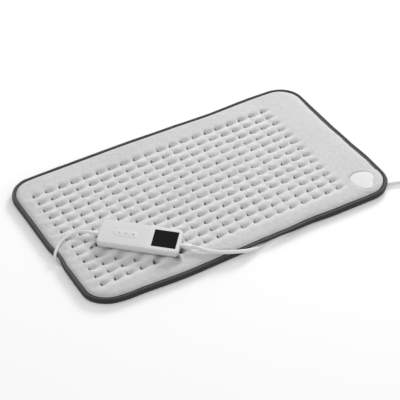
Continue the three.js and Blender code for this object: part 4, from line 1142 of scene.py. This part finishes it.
def pileShade(points, shade):
    # the pits' painted shade is weaker beside the case, and painted shade is added at the case's foot and
    # behind the badge
    away, y = awayFromCase(points)
    least, reach = pad["besideCase"]
    shade = shade * (least + (1 - least) * smoothStep(away, 0, reach))
    less, *stretch = pad["footBehind"]
    foot = pad["footShade"] * np.exp(-(np.maximum(away, 0) / pad["footReach"]) ** 2)
    foot = foot * (1 - less * smoothStep(y, *stretch))
    shade = shade + foot * (pad["footLeast"] + noiseAt(points, *pad["footChange"]))
    x, y, out = fromBadge(points)
    wayX, wayY = badge["shadeWay"]
    behind = smoothStep((wayX * x + wayY * y) / np.maximum(np.hypot(x, y), tiny), *badge["shadeFade"])
    place, width = badge["shadeBand"]
    return shade + badge["shade"] * behind * np.exp(-((out - place) / width) ** 2)


def makeTopCover(plush):
    grid, faces, rim, _ = coverMesh(pad["edgeInset"], pad["topCells"])
    height = clothHeight(grid, insetOf(grid))
    cover = meshPiece("plushTop", np.column_stack([grid, height]), faces)
    tufts = np.flatnonzero(np.hypot(*fromTuft(grid)) < tiny)
    stuffed(cover, [*tufts, *rim])
    modify(cover, "SUBSURF", levels=2, render_levels=2)
    # stitches pulled tight, what lies on the plush, and the pile
    points = np.zeros(len(cover.data.vertices) * 3, np.float32)
    cover.data.vertices.foreach_get("co", points)
    points = points.reshape(-1, 3).astype(float)
    flat = points[:, :2]
    folds, shade = quilting(flat)
    points[:, 2] += folds
    points[:, 2] = pressedBy(flat, points[:, 2])
    rise = smoothStep(insetOf(flat), pad["edgeInset"], pad["edgeInset"] + pad["pileFade"])
    coarse, fine = (noiseAt(flat, *change) for change in pad["pile"])
    points[:, 2] += pad["pileHeight"] * (coarse + fine) * rise
    cover.data.vertices.foreach_set("co", points.astype(np.float32).ravel())
    # painted shade and painted highlight, which the plush's colour takes from this attribute
    paintedShadeAndHighlight = cover.data.attributes.new("paintedShadeAndHighlight", "FLOAT", "POINT")
    paintedShadeAndHighlight.data.foreach_set("value", pileShade(flat, shade).astype(np.float32))
    closeBelow(cover, pad["underside"])
    smooth(cover, 180)
    finishPiece(cover, "plushTop", "root", plush, ["top_cover"])
    return cover


def closeBelow(piece, height):
    # a skirt and a flat underside, as triangles round one middle point
    mesh = bmesh.new()
    mesh.from_mesh(piece.data)
    made = bmesh.ops.extrude_edge_only(mesh, edges=[e for e in mesh.edges if e.is_boundary])
    for vertex in (v for v in made["geom"] if isinstance(v, bmesh.types.BMVert)):
        vertex.co.z = height
    middle = mesh.verts.new((0, 0, height))
    for edge in [e for e in mesh.edges if e.is_boundary]:
        mesh.faces.new((*edge.verts, middle))
    bmesh.ops.recalc_face_normals(mesh, faces=mesh.faces)
    mesh.to_mesh(piece.data)
    mesh.free()


plushTop = makeTopCover(plushFinish())
print("plush top made:", len(plushTop.data.polygons), "faces")

under = {
    "tapeInset": 0.0063,
    "tapeHeight": 0.0014,
    "rimInset": 0.0015,
    "height": 0.0066,
    "pocketHeight": 0.0032,
    "pocket": (-0.2242, 0.1759, -0.1136, 0.0992),
    "tuftDip": 0.0011,
    "tuftReach": 0.0034,
    "edgeGap": 0.0002,
    "weave": 0.00012,
    "weaveNoise": (120, 4.4),   # scale, seed
    "lowCord": 0.0082,     # cords with their tops below this run under the pad
    "bootPlaces": 13,
    "slack": 0.0004,       # between a cord and the cloth over it
    "clearance": 0.0005,
    "cordReach": 0.008,
    "fade": 0.0040,
    "tapeFade": 0.0120,
}
boot = {
    "place": (-0.058, -0.1245, 0.0029),
    "length": 0.024,
    "width": 0.010,
    "height": 0.0052,
    "top": 0.0055,
    "mouth": (0.0063, 0.0050),   # width, height
    "neck": (0.0072, 0.0050),
    "neckEnd": 0.004,
    "shoulder": 0.016,
    "cornerShare": 0.3,
    "edge": 0.0004,
}


def cordsBelow():
    # places on the cords' tops, with the half width that the cloth bridges
    places = []
    for line, diameter in ((padLine, cords["padDiameter"]), (mainsLine, cords["mainsDiameter"])):
        tops = [(p.x, p.y, p.z + diameter / 2, diameter / 2) for p in line]
        places += [place for place in tops if place[2] < under["lowCord"]]
    x, y, _ = boot["place"]
    stretch = np.linspace(0, boot["length"], under["bootPlaces"])
    return places + [(x + s, y, boot["top"], boot["width"] / 2) for s in stretch]


def liftOver(points, places, fade):
    # how high cords under the pad push what lies on them
    tree = flatTree(places)
    lift = np.zeros(len(points))
    for index, (x, y) in enumerate(points):
        for _, found, far in tree.find_range((x, y, 0), under["cordReach"] + fade):
            top, half = places[found][2:]
            start = half + under["clearance"]
            share = eased(1 - min(max((far - start) / fade, 0), 1))
            lift[index] = max(lift[index], (top + under["slack"]) * share)
    return lift


below = cordsBelow()


def makeBottomCover(knit):
    grid, faces, rim, counts = coverMesh(under["tapeInset"], pad["underCells"])
    size = len(grid)
    dimples = under["tuftDip"] * np.exp(-(np.hypot(*fromTuft(grid)) / under["tuftReach"]) ** 2)
    weave = under["weave"] * (1 + noiseAt(grid, 1, *under["weaveNoise"]))
    low = np.maximum(dimples * inField(grid) + weave, liftOver(grid, below, under["fade"]))
    left, right, front, back = under["pocket"]
    inPocket = (grid[:, 0] > left) & (grid[:, 0] < right) & (grid[:, 1] > front) & (grid[:, 1] < back)
    high = np.where(inPocket, under["pocketHeight"], under["height"])
    points = [*np.column_stack([grid, low]), *np.column_stack([grid, high])]
    faces = [face[::-1] for face in faces] + [tuple(i + size for i in face) for face in faces]
    # from the underside round the edge, under the tape, to the top
    wide = padLoop(under["rimInset"], counts)
    tapeRise = liftOver(wide, below, under["tapeFade"])
    underTape = np.minimum(under["tapeHeight"] + tapeRise, under["height"] - under["edgeGap"])
    rings = [rim]
    for loop, height in ((grid[rim], underTape), (wide, underTape), (wide, under["height"])):
        rings.append(list(range(len(points), len(points) + len(rim))))
        points += [*np.column_stack([loop, np.broadcast_to(height, len(rim))])]
    rings.append([i + size for i in rim])
    for one, two in zip(rings, rings[1:]):
        faces += joined(one, two)
    cover = meshPiece("bottomCover", points, faces)
    faceOutwards(cover)
    smooth(cover, 50)
    finishPiece(cover, "bottomCover", "root", knit, ["bottom_cover"])


makeBottomCover(knitFinish())

felt = {
    "middle": (-0.02415, -0.0072),
    "size": (0.3995, 0.2122),
    "bottom": 0.0035,
    "thickness": 0.0006,
    "cells": (80, 42),
    "fuzz": 0.0001,
    "fuzzScale": 90,
}


def makeFelt(felt):
    deselect()
    cellsX, cellsY = felt["cells"]
    bpy.ops.mesh.primitive_grid_add(x_subdivisions=cellsX, y_subdivisions=cellsY, size=1)
    sheet = bpy.context.object
    sheet.scale = (*felt["size"], 1)
    sheet.location = (*felt["middle"], felt["bottom"])
    bpy.context.view_layer.update()
    settle(sheet)
    for vertex in sheet.data.vertices:
        vertex.co.z += felt["fuzz"] * abs(noise.noise(vertex.co * felt["fuzzScale"]))
    modify(sheet, "SOLIDIFY", thickness=felt["thickness"] - felt["fuzz"], offset=1)
    fleece = colouredFinish("needledFelt", (0.72, 0.70, 0.64, 1), 0.9, 1400)
    finishPiece(smooth(sheet), "carrierFelt", "root", fleece, ["carrier_felt"])


makeFelt(felt)
print("bottom cover and felt made")

binding = {
    "steps": [520, 296, 520, 296],
    "profile": [   # inset from the outline, height, from the plush round to the underside and back inside
        (0.0066, 0.0080), (0.0063, 0.0088), (0.0056, 0.0090), (0.0050, 0.0087), (0.0046, 0.0086),
        (0.0041, 0.0092), (0.0032, 0.0101), (0.0022, 0.0104), (0.0013, 0.0101), (0.0005, 0.0090),
        (0.0001, 0.0074), (0.0000, 0.0050), (0.0001, 0.0028), (0.0006, 0.0012), (0.0016, 0.0002),
        (0.0032, 0.0000), (0.0060, 0.0000), (0.0063, 0.0005), (0.0060, 0.0011), (0.0014, 0.0013),
        (0.0013, 0.0074), (0.0020, 0.0080), (0.0060, 0.0078),
    ],
    "middlePoint": 10,     # of the profile, where lengths along the tape are measured
    "roll": (0.0003, 60, 9.1),
    "rollAbove": 0.005,
    "liftBelow": 0.0105,
    "lean": (0.0020, 0.0018),   # inwards and up, along the right side
    "leanAbove": 0.0070,
    "leanInside": (0.0040, 0.0022),   # from that inset, over that stretch
    "leaning": (0.222, 0.246),
    "leaningEnds": (-0.112, -0.098, 0.060, 0.120),
    "stitchShares": (0.32, 0.18, 0.32, 0.18),   # of the stitches, side by side
    "stitchPitch": 0.0036,
    "stitchLength": 0.0026,
    "stitchInset": 0.0048,
    "stitchHeight": 0.0089,
    "stitchRadius": 0.00036,
    "stitchDip": (0.0010, 4),   # depth at its ends, and the power of the bend
    "stitchRings": 5,
    "stitchSides": 6,
}


def makeBinding(tape):
    profile = np.array(binding["profile"])
    loops = [padLoop(inset, binding["steps"]) for inset in profile[:, 0]]
    count, around = len(loops[0]), len(loops)
    middle = loops[binding["middlePoint"]]
    roll = noiseAt(middle, *binding["roll"])
    leanFrom, leanOver = binding["leanInside"]
    leanIn, leanUp = binding["lean"]
    ends = binding["leaningEnds"]
    points = []
    for loop, (inset, height) in zip(loops, profile):
        lift = liftOver(loop, below, under["tapeFade"]) * (1 - height / binding["liftBelow"])
        inner = min(max((inset - leanFrom) / leanOver, 0), 1) if height > binding["leanAbove"] else 0
        lean = smoothStep(loop[:, 0], *binding["leaning"]) * smoothStep(loop[:, 1], *ends[:2]) * inner
        lean = lean * (1 - smoothStep(loop[:, 1], *ends[2:]))
        high = height + lift + (roll if height > binding["rollAbove"] else 0) + lean * leanUp
        points += list(np.column_stack([loop[:, 0] - lean * leanIn, loop[:, 1], high]))
    along, across = (
        np.concatenate([[0], np.cumsum(np.linalg.norm(np.diff(line, axis=0, append=line[:1]), axis=1))])
        for line in (middle, profile)
    )
    faces, marks = [], []
    for k in range(around):
        for i in range(count):
            j, n = (i + 1) % count, (k + 1) % around
            faces.append((n * count + i, n * count + j, k * count + j, k * count + i))
            marks += [(along[a], across[b]) for a, b in ((i, k + 1), (i + 1, k + 1), (i + 1, k), (i, k))]
    piece = meshPiece("edgeBinding", points, faces)
    piece.data.uv_layers.new(name="tapeMap").data.foreach_set("uv", np.array(marks, np.float32).ravel())
    faceOutwards(piece)
    finishPiece(smooth(piece, 60), "edgeBinding", "root", tape, ["edge_binding"])


def makeStitches(thread):
    # each stitch is a short thread that dips at both ends, in the tape's groove
    loop = padLoop(binding["stitchInset"], binding["steps"])
    total = round(np.linalg.norm(np.diff(loop, axis=0), axis=1).sum() / binding["stitchPitch"])
    line = padLoop(binding["stitchInset"], [round(total * share) for share in binding["stitchShares"]])
    ahead = np.roll(line, -1, axis=0) - line
    ahead /= np.linalg.norm(ahead, axis=1)[:, None]
    points, faces = [], []
    stations, sides, radius = (binding[name] for name in ("stitchRings", "stitchSides", "stitchRadius"))
    dip, power = binding["stitchDip"]
    for (x, y), (ax, ay) in zip(line, ahead):
        start = len(points)
        for s in range(stations):
            share = s / (stations - 1) - 0.5
            sag = dip * abs(2 * share) ** power
            middle = Vector((x, y, binding["stitchHeight"] - sag))
            middle += Vector((ax, ay, 0)) * share * binding["stitchLength"]
            for k in range(sides):
                angle = turnAll * k / sides
                out = math.cos(angle)
                points.append(middle + radius * Vector((-ay * out, ax * out, math.sin(angle))))
        for s in range(stations - 1):
            a, b = start + s * sides, start + (s + 1) * sides
            faces += [(a + k, a + (k + 1) % sides, b + (k + 1) % sides, b + k) for k in range(sides)]
        faces.append(tuple(start + k for k in range(sides)))
        faces.append(tuple(start + (stations - 1) * sides + k for k in reversed(range(sides))))
    piece = meshPiece("bindingStitches", points, faces)
    faceOutwards(piece)
    finishPiece(smooth(piece, 80), "bindingStitches", "root", thread)


makeBinding(tapeFinish())
makeStitches(threadFinish())
print("binding made")


# badge: a soft patch that lies on the plush
def makeBadge(badge):
    angles = np.linspace(0, turnAll, badge["steps"], endpoint=False)
    radius = badgeRadius(angles)
    cx, cy = badge["centre"]
    soft, bottom, top = badge["soft"], badge["bottom"], badge["top"]
    levels = [(soft * a, bottom + soft * b) for a, b in badge["lowerShares"]]
    levels += [(soft * a, top + soft * b) for a, b in badge["upperShares"]]
    levels += [(inset, top + rise) for inset, rise in badge["dome"]]
    points, rings = [], []
    for inset, height in levels:
        rings.append(list(range(len(points), len(points) + len(angles))))
        x, y = cx + (radius - inset) * np.cos(angles), cy + (radius - inset) * np.sin(angles)
        points += list(np.column_stack([x, y, np.full(len(angles), height)]))
    faces = [face for one, two in zip(rings, rings[1:]) for face in joined(two, one)]
    faces += [tuple(reversed(rings[0])), tuple(rings[-1])]
    patch = meshPiece("softBadge", points, faces)
    faceOutwards(patch)
    satin = mouldedFinish("badgeSatin", 0.86, 0.6, speckle=700)
    finishPiece(smooth(patch, 50), "softBadge", "root", satin, ["pad_badge"])


makeBadge(badge)


# controller: modelled in its own frame, then put on the pad
def onController(piece):
    piece.data.transform(controllerMatrix)
    return piece


def housing(inset, bottom, top):
    # a block with the case's outline, inset on all sides
    x, y = controller["length"] / 2 - inset, controller["width"] / 2 - inset
    corner = max(controller["corner"] - inset, controller["innerCorner"])
    return slabWithCorners((-x, -y, bottom), (x, y, top), corner, 10)


keypad = {
    "x": -0.020,
    "length": 0.037,
    "width": 0.015,
    "middle": 0.012,
    "shellGap": 0.00012,
    "keyGap": 0.00016,
    "top": 0.01412,
    "edge": 0.00022,
    "flange": 0.0008,
    "flangeBottom": 0.0112,
    "flangeTop": 0.0119,
    "flangeSpare": 0.001,
    "step": 0.00001,       # between faces that would lie in one plane
    "stemRadius": 0.0022,
    "stemBottom": 0.0089,
    "stemOverlap": 0.0003,
    "reach": (0.02, 0.03),   # of the blocks that part the keys: half their width, their height
    "signs": {"minus": -0.0096, "power": 0, "plus": 0.0104},
    "signLength": 0.0022,  # half of it, like the next one
    "signWidth": 0.00042,
    "ringRadius": 0.0022,
    "ringBore": 0.0016,
    "printHeight": 0.00004,
    "printDepth": 0.00002,
}
display = {
    "x": 0.036,
    "length": 0.0345,
    "width": 0.0338,
    "thickness": 0.0011,
    "corner": 0.001,
    "ledge": 0.0016,
    "gap": 0.00015,
    "edge": 0.0002,
}
bosses = {
    "x": 0.0465,
    "y": 0.0189,
    "radius": 0.0024,
    "bottom": 0.0048,
    "bore": 0.0013,
    "boreStart": 0.004,
    "boreEnd": 0.0091,
    "seat": 0.0045,        # top of the posts below them
    "seatRoom": 0.010,
    "seatBore": 0.006,
    "head": 0.0022,
    "headDepth": 0.0019,
}
boardPosts = {"x": 0.040, "y": 0.011, "radius": 0.0016, "top": 0.0034}
reliefs = {
    "hole": 0.0062,
    "flange": 0.0086,
    "flangeLength": 0.002,
    "neck": 0.0056,
    "padWidth": 0.006,
    "padTip": 0.005,
    "mainsWidth": 0.0074,
    "mainsTip": 0.0064,
    "mainsNeck": 0.004,
    "shoulder": 0.00015,
    "holeCornerShare": 0.2,
    "cornerShare": 0.3,
    "edge": 0.00025,
}


def pill(grown, bottom, top):
    x, y = keypad["length"] / 2 + grown, keypad["width"] / 2 + grown
    low, high = (keypad["x"] - x, -y, bottom), (keypad["x"] + x, y, top)
    return slabWithCorners(low, high, y - 2 * keypad["step"], 14)


def atCorners(places):
    return [(x * places["x"], y * places["y"]) for x in (-1, 1) for y in (-1, 1)]


def reliefRooms():
    # holes through both shells for the necks, and rooms for the flanges inside
    rooms = []
    half = controller["length"] / 2
    wall, gap, overrun = controller["wall"], controller["gap"], controller["overrun"]
    z, hole, flange = controller["reliefHeight"], reliefs["hole"], reliefs["flange"] / 2 + gap
    for side in (-1, 1):
        start, end = sorted((side * (half - wall - overrun), side * (half + overrun)))
        neck = loftBar([(start, hole, hole), (end, hole, hole)], reliefs["holeCornerShare"])
        neck.data.transform(Matrix.Translation((0, 0, z)))
        middle = side * (half - wall - gap - reliefs["flangeLength"] / 2)
        reach = reliefs["flangeLength"] / 2 + gap
        rooms += [neck, cube((middle - reach, -flange, z - flange), (middle + reach, flange, z + flange))]
    return rooms


def makeUpperShell(finish):
    wall, height, parting = controller["wall"], controller["height"], controller["parting"]
    shell = housing(0, parting + controller["gap"], height)
    roundEdges(shell, controller["fillet"], 6, lambda a, b: min(a.z, b.z) > height - tiny)
    beyond = 2 * controller["overrun"]
    cut(shell, housing(wall, parting - beyond, height - wall))
    for x, y in atCorners(bosses):
        join(shell, cylinder(bosses["radius"], (x, y, bosses["bottom"]), (x, y, height - wall / 2), 24))
        cut(shell, cylinder(bosses["bore"], (x, y, bosses["boreStart"]), (x, y, bosses["boreEnd"]), 16))
    x, y = display["length"] / 2 + display["gap"], display["width"] / 2 + display["gap"]
    seat = height - display["thickness"] - controller["gap"]
    left, right, ledge, corner = display["x"] - x, display["x"] + x, display["ledge"], display["corner"]
    cut(
        shell,
        slabWithCorners((left, -y, seat), (right, y, height + beyond), corner, 5),
        slabWithCorners((left + ledge, -y + ledge, parting), (right - ledge, y - ledge, height), corner, 3),
        pill(0, parting, height + beyond),
        *reliefRooms(),
    )
    onController(smooth(shell, 32))
    finishPiece(shell, "upperShell", "root", finish, ["controller_upper_shell"])


def makeLowerShell(finish):
    wall, parting, gap, floor = (controller[name] for name in ("wall", "parting", "gap", "floor"))
    lip, overrun, room = controller["lip"], controller["overrun"], bosses["radius"] + gap
    inner = wall + gap + controller["lipThickness"]
    shell = housing(0, 0, parting)
    roundEdges(shell, controller["tuck"], 7, lambda a, b: max(a.z, b.z) < tiny)
    cut(shell, housing(wall + controller["tuck"] / 3, floor, parting + 2 * overrun))
    ring = housing(wall + gap, parting - lip, parting + lip)
    cut(ring, housing(inner, parting - 3 * overrun, parting + 3 * overrun))
    foot = housing(wall - gap, parting - 2 * lip, parting)
    cut(foot, housing(inner, parting - 3 * overrun, parting + overrun))
    join(shell, ring, foot)
    for (x, y), (px, py) in zip(atCorners(bosses), atCorners(boardPosts)):
        join(
            shell,
            cylinder(room, (x, y, floor / 2), (x, y, bosses["seat"]), 24),
            cylinder(boardPosts["radius"], (px, py, floor / 2), (px, py, boardPosts["top"]), 16),
        )
    for x, y in atCorners(bosses):
        cut(
            shell,
            cylinder(room, (x, y, bosses["seat"]), (x, y, bosses["seatRoom"]), 24),
            cylinder(bosses["bore"], (x, y, -overrun), (x, y, bosses["seatBore"]), 16),
            cylinder(bosses["head"], (x, y, -overrun), (x, y, bosses["headDepth"]), 24),
        )
    cut(shell, *reliefRooms())
    onController(smooth(shell, 32))
    finishPiece(shell, "lowerShell", "root", finish, ["controller_lower_shell"])


def makeWindow(glass):
    height = controller["height"]
    x, y = display["length"] / 2, display["width"] / 2
    low, high = (display["x"] - x, -y, height - display["thickness"]), (display["x"] + x, y, height)
    window = slabWithCorners(low, high, display["corner"], 5)
    roundEdges(window, display["edge"], 2, lambda a, b: min(a.z, b.z) > height - tiny)
    onController(smooth(window, 12))
    finishPiece(window, "displayWindow", "root", glass, ["display_window"])


def makeKeys(finish, ink):
    middle, gap = keypad["middle"] / 2, keypad["keyGap"] / 2
    ends = keypad["length"] / 2 + keypad["flange"] + keypad["flangeSpare"]
    reach, tall = keypad["reach"]
    zones = {"minus": (-ends, -middle), "power": (-middle, middle), "plus": (middle, ends)}
    step = middle + (keypad["length"] / 2 - middle) / 2
    centres = {"minus": -step, "power": 0, "plus": step}
    for name, (start, end) in zones.items():
        body = name + "_button"
        key = pill(-keypad["shellGap"], keypad["flangeBottom"], keypad["top"])
        roundEdges(key, keypad["edge"], 3, lambda a, b: min(a.z, b.z) > keypad["top"] - tiny)
        join(key, pill(keypad["flange"], keypad["flangeBottom"] + keypad["step"], keypad["flangeTop"]))
        zone = cube((keypad["x"] + start + gap, -reach, 0), (keypad["x"] + end - gap, reach, tall))
        combine("INTERSECT", key, zone)
        x, stemTop = keypad["x"] + centres[name], keypad["flangeBottom"] + keypad["stemOverlap"]
        join(key, cylinder(keypad["stemRadius"], (x, 0, keypad["stemBottom"]), (x, 0, stemTop), 28))
        onController(smooth(key, 30))
        finishPiece(key, name + "Key", body, finish, ["key_" + name])
        sign = keySign(name, keypad["x"] + keypad["signs"][name])
        finishPiece(onController(sign), name + "Sign", body, ink)


def keySign(name, x):
    # a stroke across the case, a ring or a plus sign, printed on the key
    low, high = keypad["top"] - keypad["printDepth"], keypad["top"] + keypad["printHeight"]
    long, thick, overrun = keypad["signLength"], keypad["signWidth"], controller["overrun"]
    if name == "power":
        ring = cylinder(keypad["ringRadius"], (x, 0, low), (x, 0, high), 40)
        return cut(ring, cylinder(keypad["ringBore"], (x, 0, low - overrun), (x, 0, high + overrun), 40))
    sign = cube((x - thick, -long, low), (x + thick, long, high))
    if name == "plus":
        join(sign, cube((x - long, -thick, low), (x + long, thick, high)))
    return sign


def makeReliefs(finish):
    # from the flange inside the case to the tip, where the cord leaves
    half, wall, gap = controller["length"] / 2, controller["wall"], controller["gap"]
    end, flange = half - wall - gap, reliefs["flange"]
    for name, side, neckEnd in (("pad", -1, gap), ("mains", 1, reliefs["mainsNeck"])):
        stations = [
            (end - reliefs["flangeLength"], flange),
            (end, flange),
            (end + reliefs["shoulder"], reliefs["neck"]),
            (half + neckEnd, reliefs["neck"]),
            (half + neckEnd + gap, reliefs[name + "Width"]),
            (half + cords[name + "ReliefLength"], reliefs[name + "Tip"]),
        ]
        relief = loftBar([(side * x, width, width) for x, width in stations], reliefs["cornerShare"], 5)
        relief.data.transform(Matrix.Translation((0, 0, controller["reliefHeight"])))
        soften(relief, reliefs["edge"], 2, 40)
        onController(smooth(relief, 40))
        node = f"strain_relief_{name}_side"
        finishPiece(relief, name + "SideRelief", "root", finish, [node])


caseWhite = caseFinish(controller)
makeUpperShell(caseWhite)
makeLowerShell(caseWhite)
print("shells made")
makeWindow(glassFinish())
makeKeys(mouldedFinish("keySatin", 0.82, 0.5), mouldedFinish("greyPrint", 0.33, 0.6))
makeReliefs(mouldedFinish("reliefJacket", 0.95, 0.5, speckle=500))
print("controller made")


def makeBoot(finish):
    stations = [(0, *boot["mouth"]), (boot["neckEnd"], *boot["neck"])]
    stations += [(x, boot["width"], boot["height"]) for x in (boot["shoulder"], boot["length"])]
    piece = loftBar(stations, boot["cornerShare"], 5)
    piece.data.transform(Matrix.Translation(boot["place"]))
    soften(piece, boot["edge"], 3, 40)
    finishPiece(smooth(piece), "cordEntryBoot", "root", finish, ["cord_entry_boot"])


makeBoot(jacket)


def makePlug(finish, metal):
    toPlace = Matrix.Translation(plug["place"]) @ Matrix.Rotation(math.pi / 2, 4, "Z")
    relief = [(0, plug["reliefMouth"]), (plug["reliefEdge"], plug["reliefWidth"])]
    first, last, end = plug["grooveEdges"]
    for k in range(plug["grooves"]):
        start = plug["grooveStart"] + plug["groovePitch"] * k
        wide = plug["reliefWidth"] + plug["reliefGrow"] * k
        narrow = wide - plug["grooveDepth"]
        relief += [(start, wide), (start + first, narrow), (start + last, narrow), (start + end, wide)]
    face, radius = plug["length"], plug["pinDiameter"] / 2
    stations = [(x, width, width) for x, width in relief] + plug["shape"] + [(face, *plug["shape"][-1][1:])]
    piece = loftBar(stations, plug["cornerShare"], 6)
    soften(piece, plug["edge"], 3, 30)
    for side in (-1, 1):
        y = side * plug["pinSpacing"] / 2
        seat, out = face - plug["pinSeat"], face + plug["overrun"]
        cut(piece, cylinder(radius + plug["pinGap"], (seat, y, 0), (out, y, 0), 32))
    piece.data.transform(toPlace)
    finishPiece(smooth(piece, 40), "plugBody", "root", finish, ["mains_plug"])
    for name, side in (("Left", 1), ("Right", -1)):
        y = side * plug["pinSpacing"] / 2
        start, end = face - plug["pinSeat"] + plug["pinSeatGap"], face + plug["pinLength"]
        pin = cylinder(radius, (start, y, 0), (end, y, 0), 32)
        roundEdges(pin, plug["pinTip"], 6, lambda a, b: min(a.x, b.x) > end - tiny)
        pin.data.transform(toPlace)
        finishPiece(smooth(pin), "plugPin" + name, "root", metal, ["plug_pin_" + name.lower()])


makePlug(mouldedFinish("plugSatin", 0.81, 0.45), metalFinish("nickelPin", 0.72, 0.22))

ties = {"width": 0.008, "thickness": 0.0008, "cornerShare": 0.17, "angles": (100, 290), "gap": 0.0003}


def makeTies(ties, finish):
    # each is a flat band round the coil's section
    half = cords["mainsDiameter"] / 2 + ties["gap"]
    outerTurn = coil["middleRadius"] + coil["pitch"] * coil["turns"] / 2
    innerTurn = outerTurn - coil["pitch"] * (2 * coil["turns"] + coil["climb"]) / 2
    low = coil["lift"] + cords["mainsDiameter"] / 2
    inner, outer = innerTurn - half, outerTurn + half
    bottom, top = low - half, low + coil["pitch"] + half
    wide, high = outer - inner, top - bottom
    for number, angle in enumerate(ties["angles"], 1):
        band, room = (
            loftBar([(x, wide + grown, high + grown) for x in (-end, end)], ties["cornerShare"], 5)
            for end, grown in ((ties["width"] / 2, 2 * ties["thickness"]), (ties["width"], 0))
        )
        cut(band, room)
        turn = Matrix.Rotation(math.radians(angle) - math.pi / 2, 4, "Z")
        lift = Matrix.Translation((0, (inner + outer) / 2, (bottom + top) / 2))
        band.data.transform(Matrix.Translation((*coil["centre"], 0)) @ turn @ lift)
        name, node = f"coilTie{number}", f"coil_tie_{number}"
        finishPiece(smooth(band, 40), name, "root", finish, [node])


makeTies(ties, mouldedFinish("tieBlack", 0.03, 0.5, speckle=1500))
print("plug, boot and ties made")

# inner parts keep their CAD shape and get a finish
leads = [f"{end}_lead_wire_{number}" for end in ("pad", "mains") for number in (1, 2)]
screws = [f"case_screw_{number}" for number in (1, 2, 3, 4)]
plungers, switches = ([kind + key for key in keypad["signs"]] for kind in ("plunger_", "switch_"))
innerFinishes = [
    (colouredFinish("wireAmber", (0.66, 0.42, 0.18, 1), 0.45), ["heating_wire"]),
    (colouredFinish("leadBrown", (0.26, 0.16, 0.08, 1), 0.45), leads),
    (mouldedFinish("innerWhite", 0.80, 0.5), ["wire_splice", "light_guide"]),
    (mouldedFinish("innerBlack", 0.03, 0.45), ["temperature_sensor", "triac", "control_chip", *plungers]),
    (metalFinish("platedSteel", 0.62, 0.28), ["overheat_cutout", "fuse", *screws, *switches]),
    (colouredFinish("capacitorAmber", (0.60, 0.28, 0.05, 1), 0.3), ["film_capacitor"]),
    (boardFinish(controller), ["circuit_board"]),
    (glassFinish(), ["lcd_panel"]),
]
for finish, names in innerFinishes:
    for name in names:
        bpy.data.objects[name].data.materials.clear()
        bpy.data.objects[name].data.materials.append(finish.material)
